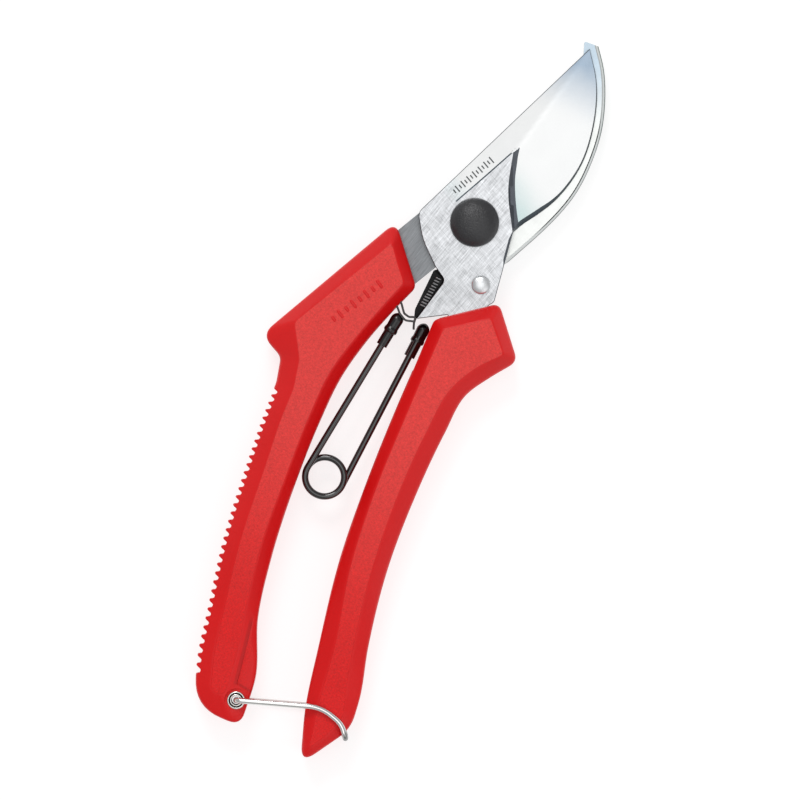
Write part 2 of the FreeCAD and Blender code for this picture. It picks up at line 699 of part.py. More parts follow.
def make_cap():
    """A domed cap: a rim, then an arc up to the crown, as one shell turned round the axis."""
    body = new_body("pivot_cap")
    rim = size("blade_gap") + size("blade_thick") + size("cap_lift")
    nut_top = (size("blade_gap") + size("blade_thick") + size("cap_lift") / 2 + size("washer_thick")
               + size("disc_high") + size("nut_high"))
    crown = nut_top + size("cap_crown") + size("cap_wall")
    outer = size("bolt_radius") + size("cap_wide")
    wall = size("cap_wall")
    shoulder = outer * 0.86
    sketch = new_sketch(body, "cap_section", role="XZ_Plane")
    bulge_out = Vector(outer * 0.985, crown - (crown - rim) * 0.42, 0)
    outside = Part.BSplineCurve()
    outside.interpolate(Points=[Vector(outer, rim + 0.3, 0), bulge_out,
                                Vector(shoulder * 0.93, crown - 0.62, 0), Vector(0, crown, 0)],
                        InitialTangent=Vector(0, 1, 0), FinalTangent=Vector(-1, 0, 0))
    inner_top = nut_top + size("cap_crown")
    inner = outer - wall * 1.2
    sketch.addGeometry(outside)
    path = [Vector(0, crown, 0), Vector(0, inner_top, 0), Vector(inner * 0.8, inner_top, 0),
            Vector(inner, inner_top - 1.7, 0), Vector(inner, rim, 0), Vector(outer, rim, 0),
            Vector(outer, rim + 0.3, 0)]
    for start, end in zip(path, path[1:]):
        sketch.addGeometry(Part.LineSegment(start, end))
    turned = body.newObject("PartDesign::Revolution", "cap_shell")
    turned.Profile = sketch
    turned.ReferenceAxis = (sketch, ["V_Axis"])
    turned.Angle = 360
    document.recompute()


# ---------------------------------------------------------------- stop buffer

def make_buffer():
    """A moulded rubber stop: a web riveted behind the blade and a ribbed nose in its notch."""
    body = new_body("stop_buffer")
    web = [
        turn(-4.3, -15.5, 0.3),
        turn(-4.45, -26.6, 0.5),
        turn(-3.6, -28.9, 0.3),
        turn(0.6, -25.6, 0.6),
        turn(10.2, -17.6, 1.5),
        turn(10.3, -12.2, 1.5),
        turn(7.6, -11.9, 1.0, (4.2, -13.5), (0.2, -14.2)),
        turn(-2.7, -14.1, 0.3),
    ]
    sketch = new_sketch(body, "web_outline", "-sizes.buffer_back")
    add_outline(sketch, web)
    pad(body, "buffer_web", sketch, "sizes.buffer_back")
    nose = [
        turn(-4.3, -15.5, 0.2),
        turn(-4.45, -26.6, 0.5),
        turn(-3.6, -28.9, 0.15),
        turn(-3.25, -28.7, 0.15),
        turn(-1.0, -17.2, 0.5),
        turn(-1.5, -16.3, 0.3),
    ]
    sketch = new_sketch(body, "nose_outline", "-sizes.buffer_back")
    add_outline(sketch, nose)
    pad(body, "buffer_nose", sketch, "sizes.buffer_back + sizes.buffer_proud")
    sketch = new_sketch(body, "rib_section", "sizes.buffer_proud")
    top = -16.6
    corners = [(-3.9, top), (-1.75, top), (-1.75, top - size("rib_wide")), (-3.9, top - size("rib_wide"))]
    points = [Vector(a, b, 0) for a, b in corners]
    for start, end in zip(points, points[1:] + points[:1]):
        sketch.addGeometry(Part.LineSegment(start, end))
    rib = pad(body, "rib", sketch, "sizes.rib_high")
    row = body.newObject("PartDesign::LinearPattern", "ribs")
    row.Originals = [rib]
    row.Direction = (sketch, ["V_Axis"])
    row.Reversed = True
    row.Occurrences = 7
    row.setExpression("Length", "6 * sizes.rib_pitch")
    body.Tip = row
    document.recompute()
    sketch = new_sketch(body, "rivet_hole", "-sizes.buffer_back")
    add_circle(sketch, "sizes.rivet_radius + sizes.tang_fit", "sizes.rivet_x", "sizes.rivet_y")
    pocket(body, "buffer_bore", sketch, "sizes.buffer_back", forwards=True)

    rivet = new_body("stop_rivet")
    tail = "-sizes.buffer_back - sizes.burr_thick"
    sketch = new_sketch(rivet, "rivet_shank", tail)
    add_circle(sketch, "sizes.rivet_radius", "sizes.rivet_x", "sizes.rivet_y")
    pad(rivet, "shank", sketch, f"{BLADE_FACE} - ({tail})")
    sketch = new_sketch(rivet, "rivet_head", BLADE_FACE)
    add_circle(sketch, "sizes.rivet_head", "sizes.rivet_x", "sizes.rivet_y")
    head = pad(rivet, "dome", sketch, "sizes.rivet_dome")
    top = size("blade_gap") + size("blade_thick") + size("rivet_dome")
    edge = edges_where(head.Shape, lambda item, at: abs(at.z - top) < 1e-4)
    round_edges(rivet, "dome_round", head, edge, "sizes.rivet_dome * 0.92")
    make_ring("rivet_burr", "sizes.burr_radius", "sizes.rivet_radius", "sizes.burr_thick", tail,
              "sizes.rivet_x", "sizes.rivet_y")


# ---------------------------------------------------------------- hairpin spring

def sweep(label, edges, radius):
    """A round wire along a chain of tangent edges, as one solid."""
    spine = Part.Wire(edges)
    start = spine.OrderedEdges[0]
    first = start.FirstParameter if start.Orientation == "Forward" else start.LastParameter
    tangent = start.tangentAt(first)
    profile = Part.Wire(Part.Circle(start.valueAt(first), tangent, radius).toShape())
    wire = document.addObject("Part::Feature", label)
    wire.Shape = spine.makePipeShell([profile], True, True)
    place(wire)
    return keep(wire, label)


def tangent_to_coil(shoe, side):
    """Where a straight arm from a shoe meets the coil, on its left (-1) or right (+1)."""
    centre = Vector(size("coil_x"), size("coil_y"), 0)
    reach = centre - shoe
    turned = side * math.asin(size("coil_radius") / reach.Length)
    straight = math.sqrt(reach.Length ** 2 - size("coil_radius") ** 2)
    heading = math.atan2(reach.y, reach.x) + turned
    return shoe + Vector(math.cos(heading), math.sin(heading), 0) * straight


def coil_edge(first_angle, last_angle, arm_angle, front):
    """Part of the coil: a helix that runs round anticlockwise and sinks by one pitch a turn."""
    pitch = 2 * size("wire_radius") + size("coil_air")
    helix = Part.makeLongHelix(pitch, pitch * (last_angle - first_angle) / 360, size("coil_radius"),
                               0, True)
    depth = front - pitch * (first_angle - arm_angle) / 360
    over = Placement(Vector(0, 0, 0), Rotation(Vector(1, 0, 0), 180))
    spin = Placement(Vector(size("coil_x"), size("coil_y"), depth),
                     Rotation(Vector(0, 0, 1), first_angle))
    helix.Placement = spin.multiply(over)
    return helix.Edges


def make_spring():
    """Two straight arms and a coil of one round wire, in two pieces: the coil is parted where its
    halves turn on each other, by a gap that closes as the shears open."""
    centre = Vector(size("coil_x"), size("coil_y"), 0)
    shoes = {-1: Vector(size("shoe_x"), size("shoe_y"), 0),
             1: Vector(size("shoe_right_x"), size("shoe_right_y"), 0)}
    angles = {}
    ends = {}
    for side, shoe in shoes.items():
        meeting = tangent_to_coil(shoe, side)
        along = (meeting - shoe).normalize()
        spoke = meeting - centre
        angles[side] = math.degrees(math.atan2(spoke.y, spoke.x)) % 360
        ends[side] = (shoe + along * (SHOE_MOUTH - size("shoe_grip")), meeting)
    arm_angle = angles[-1]
    last_angle = angles[1] + 360 * round(size("coil_turns") + 0.01)
    middle = last_angle - 180 - COIL_GAP / 2
    turned = (last_angle - arm_angle) / 360
    pitch = 2 * size("wire_radius") + size("coil_air")
    front = pitch * turned / 2
    rise = Vector(0, 0, front)
    start, meeting = ends[-1]
    arm = Part.makeLine(start + rise, meeting + rise)
    sweep("spring_left_arm", [arm] + coil_edge(arm_angle, middle, arm_angle, front),
          size("wire_radius"))
    start, meeting = ends[1]
    arm = Part.makeLine(meeting - rise, start - rise)
    sweep("spring_right_arm", coil_edge(middle + COIL_GAP, last_angle, arm_angle, front) + [arm],
          size("wire_radius"))
    for side, label in ((-1, "left_spring_shoe"), (1, "right_spring_shoe")):
        start, meeting = ends[side]
        heading = meeting - start
        make_shoe(label, side, math.degrees(math.atan2(heading.y, heading.x)) + 90, -side * front)


SHOE_MOUTH = 7.5              # hinge axis to the open end of a shoe's sleeve
COIL_GAP = 30.0               # degrees left open where the coil is parted


def make_shoe(label, side, lean, height):
    """A moulded cap on the end of a spring arm: round head, collar and sleeve, bored for the wire."""
    body = document.addObject("PartDesign::Body", label)
    body.Placement.Rotation = Rotation(Vector(0, 0, 1), lean)
    name = "shoe" if side < 0 else "shoe_right"
    body.setExpression("Placement.Base.x", f"sizes.pivot_x + sizes.{name}_x")
    body.setExpression("Placement.Base.y", f"sizes.pivot_y + sizes.{name}_y")
    body.setExpression("Placement.Base.z", f"sizes.grip_half + {height}")
    keep(body, label)
    bore = size("wire_radius") + size("shoe_fit")
    blind = size("shoe_grip") + size("shoe_fit") - SHOE_MOUTH
    sketch = new_sketch(body, f"{label}_section")
    head = Part.Arc(Vector(0, 2.0, 0), Vector(1.22, 1.35, 0), Vector(1.7, 0.1, 0))
    sketch.addGeometry(head)
    path = [(1.7, 0.1), (1.62, -2.1), (1.8, -2.7), (1.8, -3.3), (1.42, -3.7), (1.42, -SHOE_MOUTH),
            (bore, -SHOE_MOUTH), (bore, blind), (0, blind), (0, 2.0)]
    points = [Vector(a, b, 0) for a, b in path]
    for start, end in zip(points, points[1:]):
        sketch.addGeometry(Part.LineSegment(start, end))
    turned = body.newObject("PartDesign::Revolution", f"{label}_form")
    turned.Profile = sketch
    turned.ReferenceAxis = (sketch, ["V_Axis"])
    turned.Angle = 360
    document.recompute()


def bent_wire(points, radii):
    """Straight runs joined by tangent arcs: one radius for each point between the two ends."""
    edges = []
    here = points[0]
    for corner, after, radius in zip(points[1:], points[2:], radii):
        back = (here - corner).normalize()
        onward = (after - corner).normalize()
        half = back.getAngle(onward) / 2
        cut_back = radius / math.tan(half)
        crown = corner + (back + onward).normalize() * (radius / math.sin(half) - radius)
        first = corner + back * cut_back
        last = corner + onward * cut_back
        edges.append(Part.makeLine(here, first))
        edges.append(Part.Arc(first, crown, last).toShape())
        here = last
    edges.append(Part.makeLine(here, points[-1]))
    return edges


def make_shoe_clips():
    """Thin wires that tie the shoes: a loop from the left grip, and a tail from the blade's heel."""
    front = 3.6
    loop = [Vector(-9.6, -25.4, front), Vector(-8.1, -26.8, front), Vector(-6.5, -28.7, front),
            Vector(-5.0, -29.0, front), Vector(-3.4, -28.3, front), Vector(-3.3, -29.5, front),
            Vector(-5.5, -30.2, front), Vector(-7.5, -29.2, front), Vector(-8.7, -28.0, front),
            Vector(-10.3, -27.2, front)]
    sweep("left_shoe_clip", bent_wire(loop, [1.2, 0.9, 0.8, 0.42, 0.42, 1.2, 1.2, 0.9]),
          size("clip_radius"))
    back = -0.9
    tail = [Vector(-3.4, -27.6, back), Vector(-3.2, -29.8, back), Vector(-2.75, -31.0, back),
            Vector(-2.5, -31.4, back)]
    sweep("right_shoe_clip", bent_wire(tail, [0.8, 0.3]), size("clip_radius"))


# ---------------------------------------------------------------- catch

def make_catch():
    """A steel eyelet clenched in the left grip's end, and the bent wire that hangs in it."""
    eyelet_y = "sizes.eyelet_up - sizes.grip_reach"
    body = new_body("catch_eyelet")
    bottom = "-sizes.seat_half - sizes.flange_thick"
    sketch = new_sketch(body, "eyelet_tube", bottom)
    add_circle(sketch, "sizes.eyelet_bore + sizes.eyelet_wall", "sizes.eyelet_x", eyelet_y)
    pad(body, "tube", sketch, "2 * sizes.seat_half + sizes.flange_thick")
    sketch = new_sketch(body, "eyelet_flange", "sizes.seat_half")
    add_circle(sketch, "sizes.eyelet_flange", "sizes.eyelet_x", eyelet_y)
    flange = pad(body, "flange", sketch, "sizes.flange_thick")
    top = size("seat_half") + size("flange_thick")
    edge = edges_where(flange.Shape, lambda item, at: abs(at.z - top) < 1e-4)
    round_edges(body, "flange_round", flange, edge, "sizes.flange_thick * 0.6")
    sketch = new_sketch(body, "eyelet_inside", bottom)
    add_circle(sketch, "sizes.eyelet_bore", "sizes.eyelet_x", eyelet_y)
    pocket(body, "eyelet_bore_cut", sketch, "2 * (sizes.seat_half + sizes.flange_thick)", forwards=True)
    make_ring("eyelet_ring", "sizes.eyelet_flange", "sizes.eyelet_bore + sizes.eyelet_wall",
              "sizes.flange_thick", bottom, "sizes.eyelet_x", eyelet_y)
    make_bail()


def make_bail():
    """The catch wire: out of the eyelet, over the right grip's front, down past its outer edge,
    back behind it and into the eyelet again, where its two ends meet."""
    eye = Vector(size("eyelet_x"), size("eyelet_up") - size("grip_reach"), 0)
    layer = size("butt_half") + size("bail_gap") + size("bail_radius")
    share = size("bail_reach") / BAIL_REACH_DRAWN
    plan = [eye] + [eye + Vector(x, y, 0) * share for x, y in BAIL_POINTS]
    rise = Vector(0, 0, layer)
    half_gap = Vector(0, 0, BAIL_GAP_IN_EYELET / 2)
    points = ([eye + half_gap] + [at + rise for at in plan] + [at - rise for at in reversed(plan)]
              + [eye - half_gap])
    bend = size("bail_bend")
    knees = [radius * share for radius in BAIL_KNEES]
    radii = [bend] + knees + [bend, bend] + knees[::-1] + [bend]
    sweep("catch_wire", bent_wire(points, radii), size("bail_radius"))


BAIL_REACH_DRAWN = 29.6       # the reach that the catch wire's bends are drawn for
BAIL_POINTS = ((20.5, 7.6), (27.0, 5.9), (29.45, 3.0))  # its bends and far end, from the eyelet
BAIL_KNEES = (10.0, 6.0)      # radii of its two gentle bends
BAIL_GAP_IN_EYELET = 0.1      # between the wire's two ends, inside the eyelet


# ---------------------------------------------------------------- all pieces

def check_and_write():
    """Stop on any failed object or shape, then write each piece's own file."""
    document.recompute()
    for obj in document.Objects:
        if "Invalid" in obj.State or "Error" in obj.State:
            raise RuntimeError(f"{obj.Label} failed: {obj.State}")
    os.makedirs("parts", exist_ok=True)
    for piece in pieces:
        if piece.Shape.isNull() or not piece.Shape.isValid():
            raise RuntimeError(f"{piece.Label} has no valid shape")
        print(f"{piece.Label:18s} {piece.Shape.Volume:9.1f} mm3, {len(piece.Shape.Solids)} solid")
    for piece in pieces:
        piece.Shape.exportStep(f"parts/{piece.Label}.step")


fill_sheet()
make_counter_blade()
make_left_grip()
make_pivot()
make_cutting_blade()
make_right_grip()
make_buffer()
make_spring()
make_shoe_clips()
make_catch()
check_and_write()
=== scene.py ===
"""Bypass pruning shears: moulded grips, ground blades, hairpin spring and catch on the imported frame."""
import math

import bmesh
import bpy
import numpy as np
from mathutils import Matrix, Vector
from mathutils.geometry import delaunay_2d_cdt


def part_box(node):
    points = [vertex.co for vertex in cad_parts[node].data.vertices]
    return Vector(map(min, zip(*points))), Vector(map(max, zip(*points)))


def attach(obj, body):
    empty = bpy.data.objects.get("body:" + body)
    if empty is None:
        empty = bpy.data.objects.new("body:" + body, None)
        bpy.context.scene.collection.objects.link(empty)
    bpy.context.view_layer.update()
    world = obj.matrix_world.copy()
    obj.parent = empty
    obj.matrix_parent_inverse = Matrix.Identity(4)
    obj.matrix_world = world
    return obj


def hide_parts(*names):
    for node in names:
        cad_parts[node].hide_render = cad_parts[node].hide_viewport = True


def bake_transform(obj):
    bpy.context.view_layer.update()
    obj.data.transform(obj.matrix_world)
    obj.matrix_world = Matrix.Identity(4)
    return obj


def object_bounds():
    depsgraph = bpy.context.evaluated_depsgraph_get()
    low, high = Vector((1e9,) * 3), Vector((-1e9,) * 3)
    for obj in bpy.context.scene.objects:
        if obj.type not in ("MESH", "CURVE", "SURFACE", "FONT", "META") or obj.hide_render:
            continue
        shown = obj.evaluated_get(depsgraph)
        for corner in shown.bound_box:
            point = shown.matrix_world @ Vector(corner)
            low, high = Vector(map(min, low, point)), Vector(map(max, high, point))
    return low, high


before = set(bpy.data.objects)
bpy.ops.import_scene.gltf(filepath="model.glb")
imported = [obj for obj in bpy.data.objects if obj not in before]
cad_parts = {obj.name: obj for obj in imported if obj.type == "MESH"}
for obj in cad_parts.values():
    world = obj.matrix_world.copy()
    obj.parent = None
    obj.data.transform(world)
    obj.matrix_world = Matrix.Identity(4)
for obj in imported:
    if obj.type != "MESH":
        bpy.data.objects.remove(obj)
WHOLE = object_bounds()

bl_info = {
    "name": "Bypass pruning shears",
    "version": (1, 0, 0),
    "blender": (4, 5, 0),
    "location": "3D View > Sidebar > Shears",
    "description": "Builds the visible pieces of a pair of bypass pruning shears",
    "category": "Object",
}

MM = 0.001


def middle(node):
    """The centre of a CAD node's box, in millimetres."""
    low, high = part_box(node)
    return (np.array(low) + np.array(high)) / 2 / MM


# Every length below is in millimetres from the pivot axis, at the height where the blades meet.
PIVOT = np.array([middle("pivot_nut")[0], middle("pivot_nut")[1], middle("left_grip")[2]])


def axis_of(node):
    """Where the upright axis of a round node stands."""
    return (middle(node) - PIVOT) * (1, 1, 0)


def spans(node):
    """The foot's height, the crown's height and the radius of a round node."""
    low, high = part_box(node)
    return low[2] / MM - PIVOT[2], high[2] / MM - PIVOT[2], (high[0] - low[0]) / 2 / MM


# ---------------------------------------------------------------- curves

ROUNDER = 1.17                # a quadratic corner this much longer matches an arc


def unit(v):
    """A vector made one long."""
    return v / np.linalg.norm(v)


def smooth_path(points, count):
    """count + 1 even points on the Hermite curve that passes through the points given."""
    points = np.array(points, float)
    chord = np.linalg.norm(np.diff(points, axis=0), axis=1)
    knots = np.concatenate([[0.0], np.cumsum(chord)])
    if len(points) == 2:
        fine = np.linspace(points[0], points[1], 12 * count + 1)
    else:
        slope = np.gradient(points, knots, axis=0)
        at = np.linspace(0, knots[-1], 12 * count + 1)
        i = np.clip(np.searchsorted(knots, at, side="right") - 1, 0, len(chord) - 1)
        h = chord[i][:, None]
        u = (at - knots[i])[:, None] / h
        fine = ((2 * u**3 - 3 * u**2 + 1) * points[i] + (u**3 - 2 * u**2 + u) * h * slope[i]
                + (3 * u**2 - 2 * u**3) * points[i + 1] + (u**3 - u**2) * h * slope[i + 1])
    run = np.concatenate([[0.0], np.cumsum(np.linalg.norm(np.diff(fine, axis=0), axis=1))])
    even = np.linspace(0, run[-1], count + 1)
    return np.stack([np.interp(even, run, fine[:, k]) for k in range(fine.shape[1])], axis=1)


def soft_corner(start, corner, end, count):
    """A quadratic curve that leaves start towards the corner and arrives at end from it."""
    t = np.linspace(0, 1, count)
    if start.ndim == 1:
        t = t[:, None]
    else:
        t = t[:, None, None]
    return start * (1 - t)**2 + 2 * corner * t * (1 - t) + end * t**2


def outline(corners, steps, rounds=9):
    """A closed outline: corners (x, y, rounding, points on the side that follows), with steps
    segments on each side. Returns the points and the number of the side each one is on."""
    points, sides = [], []
    count = len(corners)
    ends = []
    for n, (x, y, cut, via) in enumerate(corners):
        at = np.array([x, y])
        before = corners[n - 1]
        back = np.array(before[3][-1] if before[3] else before[:2], float) - at
        on = np.array(via[0] if via else corners[(n + 1) % count][:2], float) - at
        ends.append((at + unit(back) * cut * ROUNDER, at, at + unit(on) * cut * ROUNDER))
    for n, (_, _, cut, via) in enumerate(corners):
        start, at, end = ends[n]
        if cut:
            points.append(soft_corner(start, at, end, rounds)[:-1])
            sides.append(np.full(rounds - 1, -1))
        side = smooth_path([end] + list(via) + [ends[(n + 1) % count][0]], steps[n])[:-1]
        points.append(side)
        sides.append(np.full(len(side), n))
    return np.concatenate(points), np.concatenate(sides)


def inward(loop):
    """The unit normals of a closed outline, towards its inside."""
    along = np.roll(loop, -1, axis=0) - np.roll(loop, 1, axis=0)
    normal = np.stack([-along[:, 1], along[:, 0]], axis=1)
    normal /= np.linalg.norm(normal, axis=1)[:, None]
    x, y = loop.T
    area = np.sum(x * np.roll(y, -1) - y * np.roll(x, -1))
    return normal if area > 0 else -normal


def inside(points, loop):
    """True for each point that a closed outline encloses."""
    x, y = points[:, 0][:, None], points[:, 1][:, None]
    ax, ay = loop.T
    bx, by = np.roll(loop, -1, axis=0).T
    level = np.where(by == ay, 1e-12, by - ay)
    crosses = ((ay > y) != (by > y)) & (x < (bx - ax) * (y - ay) / level + ax)
    return crosses.sum(axis=1) % 2 == 1


def distance(points, path, closed=False):
    """How far each point is from a path of straight runs."""
    a = path
    b = np.roll(path, -1, axis=0)
    if not closed:
        a, b = a[:-1], b[:-1]
    run = b - a
    t = ((points[:, None] - a) * run).sum(-1) / np.maximum((run**2).sum(-1), 1e-12)
    gap = points[:, None] - a - np.clip(t, 0, 1)[..., None] * run
    return np.linalg.norm(gap, axis=2).min(axis=1)


# ---------------------------------------------------------------- meshes

def make_piece(name, vertices, faces, materials, body, sharp=30.0, replaces=(), values=None):
    """A mesh from points in millimetres from the pivot, welded, with its normals outward."""
    mesh = bpy.data.meshes.new(name)
    mesh.from_pydata(((np.asarray(vertices) + PIVOT) * MM).tolist(), [], faces)
    set_values(mesh, values or {})
    turn_outward(mesh, 1e-7)
    return finish_piece(name, mesh, materials, body, sharp, replaces)


def set_values(mesh, values):
    """Amounts at each vertex, kept as attributes that the materials read."""
    for key, amounts in values.items():
        attribute = mesh.attributes.new(key, "FLOAT", "POINT")
        attribute.data.foreach_set("value", np.asarray(amounts, np.float32))


def turn_outward(mesh, weld=0.0):
    """Turn the normals of a closed mesh outward, once points nearer than weld are joined."""
    work = bmesh.new()
    work.from_mesh(mesh)
    if weld:
        bmesh.ops.remove_doubles(work, verts=work.verts, dist=weld)
    bmesh.ops.recalc_face_normals(work, faces=work.faces)
    work.to_mesh(mesh)
    work.free()


def finish_piece(name, mesh, materials, body, sharp, replaces):
    """Make the object, with its materials, its smooth and sharp edges, and its place in the frame."""
    piece = bpy.data.objects.new(name, mesh)
    bpy.context.scene.collection.objects.link(piece)
    for material in materials:
        mesh.materials.append(material)
    mesh.polygons.foreach_set("use_smooth", np.ones(len(mesh.polygons), bool))
    mesh.set_sharp_from_angle(angle=math.radians(sharp))
    if body:
        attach(piece, body)
    if replaces:
        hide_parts(*replaces)
    return piece


def grid_faces(rows, columns, closed_columns=True):
    """Quads between the rows of a grid of points, numbered row by row."""
    last = columns if closed_columns else columns - 1
    r, c = np.meshgrid(np.arange(rows - 1), np.arange(last), indexing="ij")
    n = (c + 1) % columns
    quads = np.stack([r * columns + c, r * columns + n, (r + 1) * columns + n, (r + 1) * columns + c], -1)
    return quads.reshape(-1, 4).tolist()


def tube(path, radius, sides=24):
    """Points and faces of a round wire: at each point of the path a circle in the plane of
    the path's side and rise directions, side = tangent x up and rise = side x tangent."""
    path = np.asarray(path, float)
    along = np.gradient(path, axis=0)
    along /= np.linalg.norm(along, axis=1)[:, None]
    side = np.cross(along, [0.0, 0.0, 1.0])
    side /= np.linalg.norm(side, axis=1)[:, None]
    rise = np.cross(side, along)
    angle = np.linspace(0, 2 * np.pi, sides, endpoint=False)[None, :, None]
    rings = path[:, None] + radius * (np.cos(angle) * side[:, None] + np.sin(angle) * rise[:, None])
    faces = grid_faces(len(path), sides)
    faces.append(list(range(sides)))
    faces.append(list(range((len(path) - 1) * sides, len(path) * sides)))
    return rings.reshape(-1, 3), faces


def lathe(profile, centre, segments=64):
    """Points and faces of a closed profile (radius, height) turned round a vertical axis."""
    profile = np.array(profile, float)
    angle = np.linspace(0, 2 * np.pi, segments, endpoint=False)
    r, z = profile[:, 0][:, None], profile[:, 1][:, None]
    rings = np.stack([centre[0] + r * np.cos(angle), centre[1] + r * np.sin(angle),
                      centre[2] + z + 0 * angle], -1)
    rings = np.concatenate([rings, rings[:1]])
    return rings.reshape(-1, 3), grid_faces(len(rings), segments)


def carve(piece, cutters):
    """Cut closed meshes (points and faces) out of a piece."""
    tools = []
    for number, (vertices, faces) in enumerate(cutters):
        tool = make_piece(f"{piece.name}_tool_{number}", vertices, faces, [], None)
        modifier = piece.modifiers.new(tool.name, "BOOLEAN")
        modifier.operation = "DIFFERENCE"
        modifier.solver = "EXACT"
        modifier.object = tool
        tools.append(tool)
    graph = bpy.context.evaluated_depsgraph_get()
    mesh = bpy.data.meshes.new_from_object(piece.evaluated_get(graph))
    piece.modifiers.clear()
    piece.data = mesh
    mesh.set_sharp_from_angle(angle=math.radians(30))
    for tool in tools:
        bpy.data.objects.remove(tool)


def prism(corners, low, high):
    """Points and faces of an upright prism: corners (x, y), a height or heights for each end."""
    corners = np.array(corners, float)
    count = len(corners)
    bottom = np.column_stack([corners, np.broadcast_to(low, count)])
    top = np.column_stack([corners, np.broadcast_to(high, count)])
    faces = grid_faces(2, count)
    return np.concatenate([bottom, top]), faces + [list(range(count)), list(range(count, 2 * count))]


def disc(centre, radius, count=64):
    """Points round a circle."""
    angle = np.linspace(0, 2 * np.pi, count, endpoint=False)
    return np.stack([centre[0] + radius * np.cos(angle), centre[1] + radius * np.sin(angle)], 1)


# ---------------------------------------------------------------- shader maths

class Shade:
    """A shader socket that takes part in Python arithmetic: each operator adds a Math node."""

    def __init__(self, tree, socket):
        self.tree = tree
        self.socket = socket

    def feed(self, socket, value):
        """Link this value to a socket, or set it there when it is plain."""
        if isinstance(value, Shade):
            self.tree.links.new(value.socket, socket)
        else:
            socket.default_value = value

    def node(self, kind, settings=None, inputs=None, output=0):
        """Any node, by its type, its settings and what goes into its inputs."""
        made = self.tree.nodes.new(kind)
        for key, value in (settings or {}).items():
            setattr(made, key, value)
        for key, value in (inputs or {}).items():
            self.feed(made.inputs[key], value)
        return Shade(self.tree, made.outputs[output])

    def maths(self, operation, *terms):
        return self.node("ShaderNodeMath", {"operation": operation}, dict(enumerate(terms)))

    def __add__(self, other):
        return self.maths("ADD", self, other)

    def __sub__(self, other):
        return self.maths("SUBTRACT", self, other)

    def __mul__(self, other):
        return self.maths("MULTIPLY", self, other)

    def __truediv__(self, other):
        return self.maths("DIVIDE", self, other)

    def __mod__(self, other):
        return self.maths("FLOORED_MODULO", self, other)

    def __radd__(self, other):
        return self.maths("ADD", other, self)

    def __rsub__(self, other):
        return self.maths("SUBTRACT", other, self)

    def __rmul__(self, other):
        return self.maths("MULTIPLY", other, self)

    def __neg__(self):
        return self.maths("MULTIPLY", self, -1.0)

    def __abs__(self):
        return self.maths("ABSOLUTE", self)

    def sqrt(self):
        return self.maths("SQRT", self)

    def below(self, other):
        return self.maths("LESS_THAN", self, other)

    def step(self, low, high):
        """0 up to low, 1 from high on, smooth between."""
        return self.node("ShaderNodeMapRange", {"interpolation_type": "SMOOTHSTEP"},
                         {"Value": self, "From Min": low, "From Max": high})

    def blend(self, first, second):
        """A colour from first, where this is 0, to second, where it is 1."""
        return self.node("ShaderNodeMix", {"data_type": "RGBA"}, {0: self, 6: first, 7: second}, 2)

    def tint(self, colour):
        """A colour made brighter or darker by this much."""
        start = colour if isinstance(colour, Shade) else colour[:3]
        return self.node("ShaderNodeVectorMath", {"operation": "SCALE"}, {0: start, "Scale": self})


class Finish:
    """A material in the making: its Principled shader, and its coordinates in millimetres
    from the pivot axis."""

    def __init__(self, name, **constants):
        self.material = bpy.data.materials.new(name)
        self.material.use_nodes = True
        tree = self.material.node_tree
        self.shader = tree.nodes["Principled BSDF"]
        start = Shade(tree, tree.nodes.new("ShaderNodeTexCoord").outputs["Object"])
        scaled = start.node("ShaderNodeVectorMath", {"operation": "MULTIPLY_ADD"},
                            {0: start, 1: (1 / MM,) * 3, 2: tuple(-PIVOT)})
        self.place = scaled
        parts = [scaled.node("ShaderNodeSeparateXYZ", None, {0: scaled}, k) for k in range(3)]
        self.x, self.y, self.z = parts
        for key, value in constants.items():
            self.set(key.replace("_", " ").title().replace("Ior", "IOR"), value)

    def set(self, key, value):
        self.x.feed(self.shader.inputs[key], value)

    def noise(self, size, detail=3.0, roughness=0.55, stretch=(1.0, 1.0, 1.0), turn=0.0):
        """Soft noise of a size in millimetres, longer by stretch along axes turned by degrees."""
        c, s = math.cos(math.radians(turn)), math.sin(math.radians(turn))
        across = (self.x * c + self.y * s) / (size * stretch[0])
        along = (self.y * c - self.x * s) / (size * stretch[1])
        place = self.x.node("ShaderNodeCombineXYZ", None,
                            {0: across, 1: along, 2: self.z / (size * stretch[2])})
        return self.x.node("ShaderNodeTexNoise", None,
                           {"Vector": place, "Scale": 1.0, "Detail": detail, "Roughness": roughness})

    def cells(self, size):
        """Distance from the nearest of scattered points, a size in millimetres apart."""
        place = self.x.node("ShaderNodeVectorMath", {"operation": "SCALE"},
                            {0: self.place, "Scale": 1 / size})
        return self.x.node("ShaderNodeTexVoronoi", None, {"Vector": place, "Scale": 1.0})

    def attribute(self, name):
        return self.x.node("ShaderNodeAttribute", {"attribute_name": name}, None, 2)

    def bump(self, height, depth, strength=1.0):
        """Relief from a height of 0 to 1 that stands for a depth in millimetres."""
        normal = self.x.node("ShaderNodeBump", None,
                             {"Height": height, "Distance": depth * MM, "Strength": strength})
        self.set("Normal", normal)


def rgb(red, green, blue):
    """A colour given as screen values of 0 to 255."""
    linear = [((c / 255 + 0.055) / 1.055)**2.4 if c > 10 else c / 255 / 12.92 for c in (red, green, blue)]
    return (*linear, 1.0)


# ---------------------------------------------------------------- finishes

